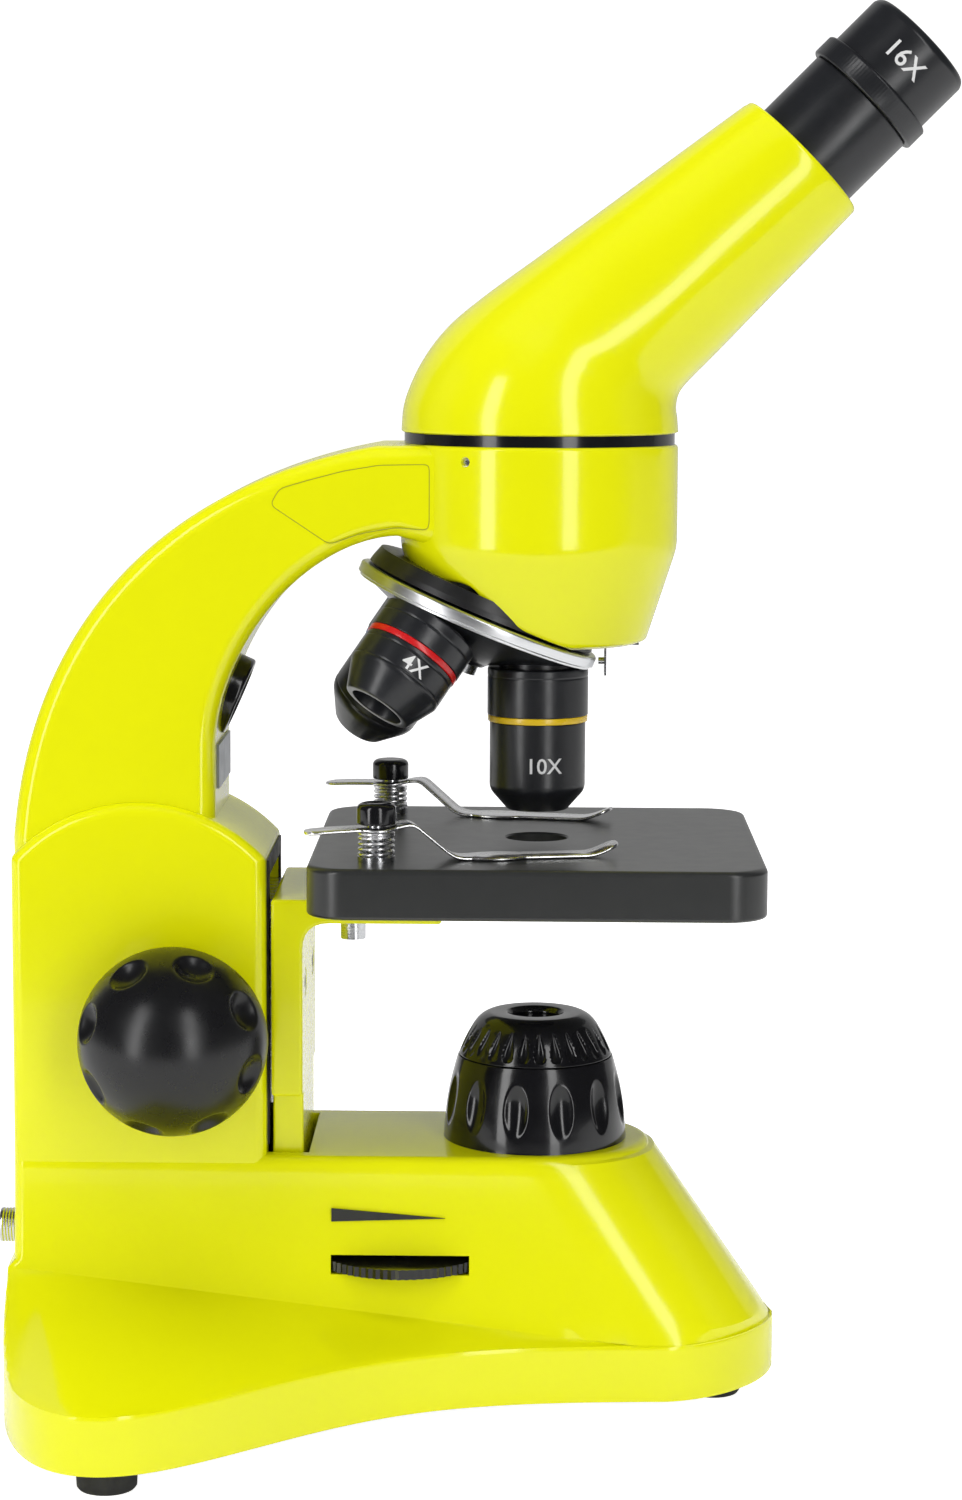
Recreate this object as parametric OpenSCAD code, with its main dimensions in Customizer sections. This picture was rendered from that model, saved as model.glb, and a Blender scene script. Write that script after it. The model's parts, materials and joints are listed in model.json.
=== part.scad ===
// Monocular student microscope: 45 degree head, triple nosepiece, rack focus,
// lower and upper lamps. Millimetres, +Z up, +X towards the user, Y across.
// The origin is the middle of the bounding box at table height.

/* [Stand] */
// Optical axis, forward of the origin
axis_x = 14; // [12:0.5:16]
// Full width across the rear of the base
base_width = 148.8; // [130:1:180]
// Width of the front of the base
base_front_width = 51.3; // [46:0.5:60]
// Front end of the base
base_front_x = 64; // [60:0.5:70]
// Rear end of the base skirt
base_rear_x = -93; // [-96:0.5:-90]
// Height of the base top above the table
base_top_z = 54.6; // [52:0.2:58]
// Height of the upright skirt band
skirt_height = 11.8; // [9:0.2:14]
// Foot height
foot_height = 5.5; // [4:0.5:8]
// Width of the column and of the base top
column_width = 43; // [40:0.5:50]
// Width of the arm
arm_width = 37.5; // [32:0.5:38]
// Rear face of the column
column_rear_x = -91.5; // [-92.5:0.5:-90]
// Front face of the column
column_front_x = -40.3; // [-40.3:0.1:-39.9]
// Wall of the casting
wall = 3.5; // [2.5:0.25:4]

/* [Head] */
// Height of the head joint
head_z = 200; // [198:0.5:206]
// Radius of the head and barrel
head_r = 28.1; // [23.4:0.1:30]
// Slope of the eyepiece tube
tube_angle = 45; // [40:1:50]
// Length from the head centre to the tube mouth
tube_reach = 90.2; // [86:0.5:100]
// Outer diameter of the eyepiece tube
tube_d = 24.6; // [24.4:0.1:25]
// Diameter of the eyepiece barrel
eyepiece_d = 23.2; // [23.2:0.1:23.4]

/* [Nosepiece] */
// Tilt of the nosepiece axis
tilt = 22.5; // [20:0.5:25]
// Height where the objective axes meet
apex_z = 193.1; // [192:0.1:194]
// Outer diameter of the objectives
objective_d = 20.6; // [19:0.1:22]

/* [Stage] */
// Stage size along X
stage_length = 90; // [75:1:95]
// Stage size along Y
stage_width = 90; // [80:1:110]
// Stage thickness
stage_thickness = 10; // [8:0.5:12]
// Stage top at rest
stage_z = 117.1; // [114:0.5:118]
// Diameter of the light opening
stage_hole_d = 12.6; // [10:0.2:20]
// Distance of the clip posts from the middle
clip_y = 34; // [28:1:38]

/* [Focus] */
// Height of the knob shaft
knob_z = 81; // [78:0.5:84]
// Position of the knob shaft
knob_x = -57.6; // [-58:0.1:-57]
// Diameter of the knobs
knob_d = 37.2; // [30:0.2:40]

/* [Lamps] */
// Radius of the lower lamp at its foot
lamp_r = 18.95; // [17:0.05:20]
// Diameter of the upper lamp
upper_lamp_d = 16.5; // [14:0.5:18]
// Diameter of the brightness wheel
wheel_d = 36; // [30:0.5:38]

/* [Show] */

/* [Hidden] */
yellow = [0.92, 0.93, 0.1];
black = [0.09, 0.09, 0.1];
steel = [0.75, 0.76, 0.78];
brass = [0.8, 0.65, 0.3];
glass = [0.75, 0.88, 0.95];
hw = column_width / 2;
aw = arm_width / 2;
skirt_top = foot_height + skirt_height;
barrel_top = head_z - 2.2;
stage_under = stage_z - stage_thickness;
stage_x0 = axis_x - stage_length / 2;
// bore of the barrel for the head flange, and its seat under the head
head_bore_r = head_r - 8.1;
head_seat_r = head_r - 4.1;
// clip posts and stage screws, from the rear edge of the stage
post_x = stage_x0 + 13.5;
stage_screw_x = stage_x0 + 7.8;
// centre of the brightness wheel
wheel_x = -13.1;
wheel_y = -11.4;

// ---------- shapes shared by several pieces

// a box given by its two corners
module span(x0, x1, y0, y1, z0, z1) translate([x0, y0, z0]) cube([x1 - x0, y1 - y0, z1 - z0]);

// a plate in the XZ plane, thickness across Y
module side_plate(y0, y1) translate([0, y1, 0]) rotate([90, 0, 0]) linear_extrude(height = y1 - y0) children();

// half width of the base at x: a smooth step from rear to front, rounded at both ends
function step_w(x) = base_front_width / 2 + (176 * base_width / 148.8 - base_front_width) / 2 / (1 + exp((x + 39.28) / 17.48));
function nose(x) = let(t = max(0, (x - (base_front_x - 23.4)) / 23.4)) t >= 1 ? 0 : pow(1 - pow(t, 1.7), 1 / 1.7);
function tail(x) = let(t = max(0, (base_rear_x + 45 - x) / 45)) t >= 1 ? 0 : pow(1 - pow(t, 2.84), 1 / 2.84);
function half_w(x) = step_w(x) * nose(x) * tail(x);
rear_x = [for (i = [0 : 11]) base_rear_x + 28 * (1 - cos(i * 90 / 11))];
mid_x = [for (i = [1 : 16]) base_rear_x + 28 + (base_front_x - 23.4 - base_rear_x - 28) * i / 17];
front_x = [for (i = [0 : 12]) base_front_x - 23.4 * (1 - sin(i * 90 / 12))];
plan_x = concat(rear_x, mid_x, front_x);
module base_plan(inset = 0) {
  span_x = base_front_x - base_rear_x;
  xs = [for (x = plan_x) base_rear_x + inset + (x - base_rear_x) * (span_x - 2 * inset) / span_x];
  ws = [for (x = plan_x) max(0.3, half_w(x) - inset)];
  n = len(plan_x) - 1;
  polygon(concat([for (i = [0 : n]) [xs[i], ws[i]]], [for (i = [n : -1 : 0]) [xs[i], -ws[i]]]));
}

// outline of the block above the skirt: straight sides and a rounded nose
module block_plan(w, tip, start) polygon(concat(
  [[column_rear_x, -w], [start, -w]],
  [for (i = [1 : 11]) [start + (tip - start) * pow(sin(i * 90 / 12), 0.9), -w * pow(cos(i * 90 / 12), 0.9)]],
  [[tip, 0]],
  [for (i = [11 : -1 : 1]) [start + (tip - start) * pow(sin(i * 90 / 12), 0.9), w * pow(cos(i * 90 / 12), 0.9)]],
  [[start, w], [column_rear_x, w]]));

// frame of the nosepiece: local -Z runs down its axis from the apex
module nose_frame() translate([axis_x, 0, apex_z]) rotate([0, tilt, 0]) children();
// frame of an objective, local -Z down its axis
module objective_frame(az) nose_frame() rotate([0, 0, az]) rotate([0, -tilt, 0]) children();
// a turned piece given by [radius, distance down the axis] pairs
module turned(p, fn = 72) rotate_extrude($fn = fn) polygon([for (q = p) [q[0], -q[1]]]);
// frame of the eyepiece tube: local +Z up the tube from the head centre
module tube_frame() translate([axis_x, 0, head_z + 2.6]) rotate([0, 90 - tube_angle, 0]) children();

// ---------- stand casting

module arm_plate_2d() {
  outer = [for (i = [0 : 40]) let(t = 6.5 + 83.5 * i / 40)
    [13.4 - 105.43 * pow(cos(t), 2 / 2.38), base_top_z + 48.6 + (barrel_top - base_top_z - 47.4 + 1.05) * pow(sin(t), 2 / 2.38) ]];
  inner = [for (i = [0 : 28]) let(t = 90 - 88 * i / 28)
    [-14.2 - 36.5 * pow(cos(t), 2 / 1.78), 137.24 + 42.5 * pow(sin(t), 2 / 1.78)]];
  polygon(concat([[column_rear_x, 108]],
    [for (p = outer) if (p[0] > column_rear_x && p[0] < 0 && p[1] < barrel_top) p],
    [[axis_x - 10, barrel_top], [axis_x - 10, 172], [-2, 176]],
    inner, [[-50.7, 108]]));
}

module flare(x0, x1) hull() for (x = [x0, x1 - 0.2])
  let(w = max(half_w(max(x, base_rear_x + 7)), 24.5) + 0.6, t = max(0, min(1, (x + 91) / 125)), zc = skirt_top + 14.4 * (1 - t))
  translate([x, 0, 0]) rotate([90, 0, 90]) linear_extrude(height = 0.2)
  polygon([[-w, foot_height], [w, foot_height], [w, skirt_top], [23.5, zc], [-23.5, zc], [-w, skirt_top]]);

module stand_outer() {
  // block under the base top, wider and longer at its foot
  hull() {
    translate([0, 0, base_top_z - 0.3]) linear_extrude(height = 0.3) block_plan(hw, base_front_x - 26.3, axis_x - 4);
    translate([0, 0, skirt_top - 0.5]) linear_extrude(height = 0.3) block_plan(base_front_width / 2 + 0.2, base_front_x - 0.8, axis_x + 24);
  }
  translate([0, 0, foot_height]) linear_extrude(height = skirt_height) base_plan();
  intersection() {
    union() {
      flare(base_rear_x, -78); flare(-78, -62); flare(-62, -46);
      flare(-46, -28); flare(-28, -4); flare(-4, 34);
    }
    translate([0, 0, foot_height]) linear_extrude(height = 40) base_plan();
  }
  // column with its arched shoulders
  intersection() {
    span(column_rear_x, column_front_x, -hw, hw, 40, 140);
    union() {
      span(column_rear_x, column_front_x, -hw, hw, 40, 112);
      translate([(column_rear_x + column_front_x) / 2, 0, 91.4]) rotate([90, 0, 0]) cylinder(h = 60, r = 34.9, center = true, $fn = 120);
    }
  }
  side_plate(-aw, aw) arm_plate_2d();
  difference() {
    union() {
      translate([axis_x, 0, 177]) cylinder(h = barrel_top - 177, r = head_r, $fn = 96);
      translate([axis_x, 0, 157.5]) cylinder(h = 19.5, r1 = head_r - 6.3, r2 = head_r, $fn = 96);
    }
    nose_frame() translate([0, 0, -60]) cylinder(h = 60 - 27.12, r = 24.3, $fn = 96);
    nose_frame() translate([0, 0, -60]) cylinder(h = 60 - 30.4, r = 27, $fn = 96);
    span(-40, axis_x - 8, -40, 40, 150, 171);
  }
}

foot_rear_x = -67.7;
foot_front_x = base_front_x - 12.5;
foot_y = base_width / 2 - 10.8;
boss_at = [[-50, 54], [-50, -54], [22, 16], [22, -16]];
foot_at = [[foot_rear_x, foot_y], [foot_rear_x, -foot_y], [foot_front_x, 0]];

module stand_cuts() {
  // recess for the bottom plate and the room inside the base
  translate([0, 0, foot_height - 1]) linear_extrude(height = 3.5) base_plan(2.4);
  difference() {
    union() {
      translate([0, 0, foot_height + 2.4]) linear_extrude(height = 6.6) base_plan(5.6);
      span(-84, -50, -54, 54, 10, 20);
    }
    for (p = concat(boss_at, foot_at)) translate([p[0], p[1], 0]) cylinder(h = 40, r = 4, $fn = 32);
  }
  span(-87.2, -31.8, -23.5, 23.5, 8, 24.5);
  span(column_rear_x + 4, axis_x - 8, -hw + wall, hw - wall, 24, base_top_z - wall);
  span(-32, axis_x - 8, -hw + wall, hw - wall, 14, 30);
  span(axis_x - 8.1, axis_x + 12, -13, 13, 14, base_top_z - wall - 2);
  span(axis_x - 8.1, axis_x + 34, -14, 14, 14, 24);
  // room inside the column
  span(column_rear_x + 4, column_front_x - 6, -hw + 4, hw - 4, 40, 112);
  // stepped front slot for the slide, opening for the carrier tail
  span(column_front_x - 6.1, column_front_x - 2.9, -8.2, 8.2, base_top_z - 5, 109);
  span(column_front_x - 3, column_front_x + 1, -14, 14, base_top_z - 5, 111);
  span(column_front_x - 3, column_front_x + 8.5, -17.6, 17.6, 36, base_top_z + 0.01);
  span(column_front_x, column_front_x + 8.5, -17.6, 17.6, 36, base_top_z + 10);
  // shaft bores through both column walls
  translate([knob_x, 0, knob_z]) rotate([90, 0, 0]) cylinder(h = 60, r = 5, center = true, $fn = 48);
  // head bore, light path, lock screw, upper lamp seat
  translate([axis_x, 0, barrel_top - 9]) cylinder(h = 10, r = head_bore_r, $fn = 96);
  translate([axis_x, 0, 150]) cylinder(h = 60, r = 9, $fn = 48);
  translate([axis_x, 0, head_z - 5.2]) rotate([0, 0, 238.7]) rotate([0, 90, 0]) cylinder(h = 40, r = 1, $fn = 24);
  lamp_frame() {
    translate([0, 0, -14]) cylinder(h = 14, r = 6, $fn = 48);
    translate([0, 0, -4.6]) cylinder(h = 14, r = upper_lamp_d / 2 + 0.1, $fn = 48);
  }
  // brightness wheel slot and mark recess on the near side, selector on the far side
  span(wheel_x - wheel_d / 2 + 4, wheel_x + wheel_d / 2 - 4, wheel_y - wheel_d / 2 - 0.6, -15, 30.9, 34.8);
  span(wheel_x - wheel_d / 2 - 0.6, wheel_x + wheel_d / 2 + 0.6, -23, -15, 30.9, 34.8);
  side_plate(-26, -22.4) polygon([[-27.1, 44.4], [-27.1, 41.5], [-3.6, 42.4]]);
  span(-20.2, -5.8, 15, 30, 34.2, 45.8);
  // wire hole under the lamp, inlet bore
  translate([axis_x, 0, 40]) cylinder(h = 20, r = 5, $fn = 36);
  translate([column_rear_x - 3, 0, 34.3]) rotate([0, 90, 0]) cylinder(h = 12, r = 3.9, $fn = 36);
  // pivot screw hole
  nose_frame() translate([0, 0, -30]) cylinder(h = 12, r = 2.45, $fn = 24);
}

module stand() color(yellow) difference() { stand_outer(); stand_cuts(); }

module bottom_plate() color(black) difference() {
  translate([0, 0, foot_height]) linear_extrude(height = 2.4) base_plan(2.65);
  for (p = concat(boss_at, foot_at)) translate([p[0], p[1], 0]) cylinder(h = 20, r = 1.7, $fn = 24);
  span(-80, -38, -20, 20, 0, 20);
}
module battery_door() color(black) span(-79.8, -38.2, -19.8, 19.8, foot_height, foot_height + 2.4);
module bottom_screws() color(steel) for (p = boss_at) translate([p[0], p[1], foot_height]) {
  translate([0, 0, -1.2]) cylinder(h = 1.2, r = 2.8, $fn = 32);
  cylinder(h = 2.4, r = 1.4, $fn = 24);
}
module feet() color(black) for (p = foot_at) translate([p[0], p[1], 0])
  rotate_extrude($fn = 48) polygon([[1.7, 2.4], [3.1, 2.4], [3.1, 0], [5.4, 0], [5.8, 0.5], [6.1, foot_height], [1.7, foot_height]]);
module foot_screws() color(steel) for (p = foot_at) translate([p[0], p[1], 0]) {
  translate([0, 0, 1]) cylinder(h = 1.4, r = 2.9, $fn = 32);
  translate([0, 0, 2.4]) cylinder(h = foot_height, r = 1.4, $fn = 24);
}

module column_plate() color(black) difference() {
  span(column_front_x, column_front_x + 0.4, -17.4, 17.4, base_top_z + 1.5, 114.5);
  span(column_front_x - 1, column_front_x + 1, -14.1, 14.1, base_top_z - 1, 111.2);
}
module arm_plate() color(steel) span(-50.66, -50.16, -13, 13, 128.4, 137.2);
module brightness_mark() color(black) side_plate(-22.8, -22.4) polygon([[-27, 44.3], [-27, 41.6], [-4, 42.4]]);

// ---------- power

module power_inlet() color(steel) difference() {
  union() {
    translate([column_rear_x - 5.9, 0, 34.3]) rotate([0, 90, 0]) cylinder(h = 14, r = 3.65, $fn = 48);
    translate([column_rear_x + 6.2, 0, 34.3]) rotate([0, 90, 0]) cylinder(h = 8, r = 5.2, $fn = 48);
  }
  difference() {
    translate([column_rear_x - 7, 0, 34.3]) rotate([0, 90, 0]) cylinder(h = 12, r = 2.75, $fn = 36);
    translate([column_rear_x - 5, 0, 34.3]) rotate([0, 90, 0]) cylinder(h = 12, r = 1, $fn = 24);
  }
}
module battery_box() color(black) difference() {
  span(-86.6, -32.4, -23.2, 23.2, 8.1, 24.2);
  for (y = [-15, 0, 15]) translate([-85.4, y, 16]) rotate([0, 90, 0]) cylinder(h = 51.8, r = 7.3, $fn = 48);
  span(-85.4, -33.6, -18, 18, 7, 12);
}
module battery_cells() color(brass) for (y = [-15, 0, 15]) translate([-85, y, 16]) rotate([0, 90, 0]) {
  cylinder(h = 49.3, r = 7.1, $fn = 48);
  cylinder(h = 50.6, r = 2.7, $fn = 24);
}
module circuit_board() color([0.1, 0.4, 0.2]) span(-30, 5, -16.5, 14, 40.2, 41.8);
module potentiometer() color(steel) translate([wheel_x, wheel_y, 0]) {
  translate([0, 0, 35.2]) cylinder(h = 5, r = 6.4, $fn = 48);
  translate([0, 0, 31]) cylinder(h = 4.2, r = 2.45, $fn = 32);
}
module brightness_wheel() color(black) translate([wheel_x, wheel_y, 31.4]) difference() {
  union() {
    linear_extrude(height = 2) polygon([for (i = [0 : 143]) let(a = i * 2.5, r = wheel_d / 2 - (i % 2) * 0.35) [r * cos(a), r * sin(a)]]);
    translate([0, 0, 2]) cylinder(h = 1.2, r = 5, $fn = 36);
  }
  translate([0, 0, -1]) cylinder(h = 8, r = 2.5, $fn = 32);
}
module selector_housing() color(black) difference() {
  union() {
    span(-20, -6, 16, 24.5, 34.4, 45.6);
    span(-21, -5, 24.05, 24.85, 33.6, 46.4);
  }
  span(-18.2, -7.8, 17, 30, 35.4, 44.6);
  translate([-22, 19.4, 40]) rotate([0, 90, 0]) cylinder(h = 20, r = 1.05, $fn = 24);
}
module selector_rocker() color(black) {
  intersection() {
    translate([-18, 19.4, 40]) rotate([0, 90, 0]) cylinder(h = 10, r = 6.2, $fn = 60);
    span(-18, -8, 19.4, 30, 35.9, 44.1);
  }
  translate([-19.8, 19.4, 40]) rotate([0, 90, 0]) cylinder(h = 13.6, r = 1, $fn = 24);
}

// ---------- lower lamp

module lamp_housing() color(black) translate([axis_x, 0, base_top_z]) difference() {
  rotate_extrude($fn = 96) polygon([[13, 0], [lamp_r, 0], [lamp_r - 0.25, 3], [lamp_r - 0.65, 7], [lamp_r - 1.4, 11.2],
    [lamp_r - 2.5, 15.5], [lamp_r - 3, 17.1], [13, 17.1]]);
  for (i = [0 : 11]) rotate([0, 0, i * 30 + 17.5]) translate([lamp_r + 1.9, 0, 8.6]) rotate([0, -7, 0]) {
    cylinder(h = 8, r = 3.1, center = true, $fn = 32);
    for (z = [-4, 4]) translate([0, 0, z]) sphere(r = 3.1, $fn = 32);
  }
}
module lamp_cap() color(black) translate([axis_x, 0, base_top_z + 17.3]) difference() {
  rotate_extrude($fn = 96) polygon([[11.6, -6], [12.94, -6], [12.94, 0], [lamp_r - 3.1, 0], [lamp_r - 3.35, 0.5], [lamp_r - 4.2, 2.5],
    [lamp_r - 5.2, 4.5], [lamp_r - 6.4, 6.6], [11.2, 8], [9.6, 8.7], [5.9, 8.7], [5.2, 7.6], [5.2, 6.9], [6.6, 6.9], [6.6, 5], [10.2, 2.5], [11.6, 1]]);
  for (i = [0 : 27]) rotate([0, 0, i * 360 / 28 + 3.7]) translate([lamp_r - 3.7, 0, 3.4]) rotate([0, -26, 0]) cylinder(h = 5, r = 0.75, center = true, $fn = 16);
}
module condenser_lens() color(glass) translate([axis_x, 0, base_top_z + 22.4]) cylinder(h = 1.7, r = 6.5, $fn = 48);
module lower_led() color([0.95, 0.95, 0.85]) translate([axis_x, 0, base_top_z]) {
  cylinder(h = 1.6, r = 10, $fn = 48);
  cylinder(h = 3.2, r = 2.6, $fn = 32);
}

// ---------- upper lamp
module lamp_frame() translate([-46.9, 0, 145.6]) rotate([0, 113.5, 0]) children();
module upper_lamp() color(black) lamp_frame() difference() {
  union() {
    translate([0, 0, -4.5]) cylinder(h = 4.5, r = upper_lamp_d / 2, $fn = 60);
    translate([0, 0, -13]) cylinder(h = 9, r = 5.9, $fn = 48);
  }
  translate([0, 0, -1.6]) cylinder(h = 3, r = 6.6, $fn = 48);
  translate([0, 0, -14]) cylinder(h = 14, r = 3, $fn = 36);
}
module upper_lens() color(glass) lamp_frame() translate([0, 0, -1.6]) cylinder(h = 1.2, r = 6.5, $fn = 48);
module upper_led() color([0.95, 0.95, 0.85]) lamp_frame() translate([0, 0, -5]) cylinder(h = 3, r = 2.5, $fn = 32);

// ---------- focus
rail_x = column_front_x - 6;
module guide_rails() color(steel) {
  for (s = [-1, 1]) translate([0, 0, 56]) linear_extrude(height = 55)
    polygon([[rail_x, s * 11.04], [rail_x, s * 17.3], [rail_x - 4.66, s * 17.3], [rail_x - 4.66, s * 8.04]]);
}
module focus_slide() color(steel) difference() {
  union() {
    translate([0, 0, 62]) linear_extrude(height = 46)
      polygon([[rail_x - 0.04, -11], [rail_x - 0.04, 11], [rail_x - 4.66, 8], [rail_x - 4.66, -8]]);
    span(rail_x - 0.1, column_front_x - 2.8, -7.9, 7.9, 64, 106);
    span(column_front_x - 2.8, column_front_x + 1.1, -13.5, 13.5, 64, 106);
  }
  for (y = [-11.5, 11.5]) translate([column_front_x - 4, y, 88.7]) rotate([0, 90, 0]) cylinder(h = 8, r = 1.5, $fn = 24);
}
gear_m = 0.8;
gear_n = 12;
gear_r = gear_m * gear_n / 2;
gear_b = gear_r * cos(20);
pitch = PI * gear_m;
function inv(a) = tan(a) - a * PI / 180;
function flank(r) = 6.8 + (inv(20) - (r > gear_b ? inv(acos(gear_b / r)) : 0)) * 180 / PI;
gear_rs = [3.9, gear_b, 4.75, 5, 5.25, 5.5];
module pinion_2d() polygon([for (k = [0 : gear_n - 1]) let(c = (k + 0.5) * 360 / gear_n)
  for (j = [0 : 11]) let(i = j < 6 ? j : 11 - j, r = gear_rs[i], a = c + (j < 6 ? -1 : 1) * flank(r)) [r * cos(a), r * sin(a)]]);
rack_x = knob_x + gear_r;
module focus_rack() color(brass)
  side_plate(-4.6, 4.6) polygon(concat([[rail_x - 4.66, 62.2], [rail_x - 4.66, 107.8], [rack_x + 0.85, 107.8]],
    [for (k = [10 : -1 : -7]) let(z = knob_z + k * pitch) if (z < 106.5 && z > 63.5)
      each [[rack_x + 0.85, z + 0.88], [rack_x - 0.55, z + 0.37], [rack_x - 0.55, z - 0.37], [rack_x + 0.85, z - 0.88]]],
    [[rack_x + 0.85, 62.2]]));
module stage_carrier() color(yellow) difference() {
  union() {
    span(column_front_x + 1.1, column_front_x + 7.4, -21.3, 21.3, 66.9, stage_under);
    span(column_front_x + 1.1, axis_x - 19, -21.3, 21.3, stage_under - 4.8, stage_under);
    span(column_front_x + 1.1, column_front_x + 7.3, -17, 17, 47, 67);
    side_plate(-21.3, 21.3) polygon([[column_front_x + 7, stage_under - 4.5], [column_front_x + 7, stage_under - 8],
      [column_front_x + 8.2, stage_under - 5.7], [column_front_x + 10.8, stage_under - 4.5]]);
  }
  for (y = [-11.5, 11.5]) translate([column_front_x, y, 88.7]) rotate([0, 90, 0]) {
    cylinder(h = 12, r = 1.6, $fn = 24);
    translate([0, 0, 5.9]) cylinder(h = 6, r = 3, $fn = 32);
  }
  for (y = [-11, 11]) translate([stage_screw_x, y, 90]) cylinder(h = 20, r = 1.6, $fn = 24);
}
module carrier_screws() color(steel) for (y = [-11.5, 11.5]) translate([column_front_x, y, 88.7]) rotate([0, 90, 0]) difference() {
  union() {
    translate([0, 0, -2.6]) cylinder(h = 8.6, r = 1.5, $fn = 24);
    translate([0, 0, 5.9]) cylinder(h = 1.4, r = 2.9, $fn = 32);
  }
  translate([0, 0, 6.6]) cylinder(h = 2, r = 1.45, $fn = 6);
}
module stage_plate() color(black) difference() {
  translate([stage_x0, -stage_width / 2, stage_under]) {
    translate([8, 0, 0]) cube([stage_length - 16, stage_width, stage_thickness]);
    translate([0, 8, 0]) cube([stage_length, stage_width - 16, stage_thickness]);
    for (x = [8, stage_length - 8], y = [8, stage_width - 8]) translate([x, y, 0]) cylinder(h = stage_thickness, r = 8, $fn = 64);
  }
  translate([axis_x, 0, stage_z - 3]) cylinder(h = 4, r = stage_hole_d / 2, $fn = 48);
  translate([axis_x, 0, stage_under - 1]) cylinder(h = stage_thickness - 2, r1 = 11, r2 = stage_hole_d / 2, $fn = 48);
  for (y = [-clip_y, clip_y]) translate([post_x, y, stage_z - 6]) cylinder(h = 8, r = 1.9, $fn = 32);
  for (y = [-11, 11]) translate([stage_screw_x, y, stage_under - 1]) cylinder(h = 7, r = 1.5, $fn = 24);
}
module stage_screws() color(steel) for (y = [-11, 11]) translate([stage_screw_x, y, 0]) difference() {
  union() {
    translate([0, 0, stage_under - 9.4]) cylinder(h = 4.6, r = 2.55, $fn = 36);
    translate([0, 0, stage_under - 5]) cylinder(h = 10.5, r = 1.5, $fn = 24);
  }
  translate([0, 0, stage_under - 10]) cylinder(h = 2.4, r = 1.5, $fn = 6);
}
module focus_shaft() color(steel) translate([knob_x, 0, knob_z]) rotate([90, 0, 0]) {
  cylinder(h = 84, r = 3, center = true, $fn = 48);
  translate([0, 0, -6]) linear_extrude(height = 12) pinion_2d();
}
module shaft_bushes() color(brass) for (s = [0, 180]) translate([knob_x, 0, knob_z]) rotate([90, 0, s]) translate([0, 0, hw - 4]) difference() {
  union() {
    cylinder(h = 4.6, r = 5, $fn = 48);
    translate([0, 0, 4]) cylinder(h = 0.8, r = 7, $fn = 48);
  }
  translate([0, 0, -1]) cylinder(h = 8, r = 3.03, $fn = 48);
}
module focus_knobs() color(black) for (s = [0, 180]) translate([knob_x, 0, knob_z]) rotate([90, 0, s]) translate([0, 0, hw + 1.3]) difference() {
  union() {
    intersection() {
      translate([0, 0, 11.6]) sphere(r = knob_d / 2, $fn = 96);
      cylinder(h = 60, r = 40, $fn = 48);
    }
    cylinder(h = 11.6, r1 = 14.4, r2 = knob_d / 2, $fn = 96);
  }
  for (i = [0 : 7]) rotate([0, 0, i * 45 + (s == 0 ? 27.8 : -27.8)]) translate([knob_d / 2 + 1.1, 0, 20.8]) sphere(r = 5.2, $fn = 36);
  translate([0, 0, -1]) cylinder(h = 21, r = 3, $fn = 48);
}
// ---------- clips
module clip_posts() color(steel) for (y = [-clip_y, clip_y]) translate([post_x, y, 0]) {
  translate([0, 0, stage_z - 5.5]) cylinder(h = 15, r = 1.9, $fn = 32);
  translate([0, 0, stage_z]) cylinder(h = 1.1, r = 3.7, $fn = 48);
}
module clip_caps() color(black) for (y = [-clip_y, clip_y]) translate([post_x, y, stage_z]) difference() {
  rotate_extrude($fn = 48) polygon([[0, 7.4], [3.7, 7.4], [3.85, 7.6], [3.85, 10.8], [3.4, 11.4], [2.6, 11.7], [0, 11.7]]);
  translate([0, 0, 6]) cylinder(h = 3.5, r = 1.9, $fn = 32);
}
module clip_springs() color(steel) for (y = [-clip_y, clip_y]) translate([post_x, y, stage_z]) for (i = [0 : 4])
  translate([0, 0, 1.5 + i * 1.05]) rotate_extrude($fn = 48) translate([3.3, 0]) circle(r = 0.38, $fn = 16);
clip_line = [[-14.2, 6], [-9, 6.35], [-4, 6.5], [2, 6.5], [5.6, 7.5], [7.2, 7.4], [14.6, 1], [16.4, 0.4], [42.5, 0.4], [44.5, 0.9], [48.4, 2.6]];
module clip() difference() {
  intersection() {
    translate([0, 6, 0]) rotate([90, 0, 0]) linear_extrude(height = 12) polygon(concat(
      [for (p = clip_line) [p[0], p[1] - 0.3]], [for (i = [len(clip_line) - 1 : -1 : 0]) [clip_line[i][0], clip_line[i][1] + 0.3]]));
    union() {
      translate([-14.2, -3.2, -1]) cube([62.6, 6.4, 12]);
      translate([0, 0, -1]) cylinder(h = 12, r = 4.6, $fn = 48);
      translate([24, 0, -1]) scale([1.7, 1, 1]) cylinder(h = 4, r = 4.4, $fn = 48);
    }
  }
  cylinder(h = 12, r = 1.95, $fn = 32);
}
module clip_near() color(steel) translate([post_x, -clip_y, stage_z]) rotate([0, 0, 12]) clip();
module clip_far() color(steel) translate([post_x, clip_y, stage_z]) rotate([0, 0, -12]) clip();

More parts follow.
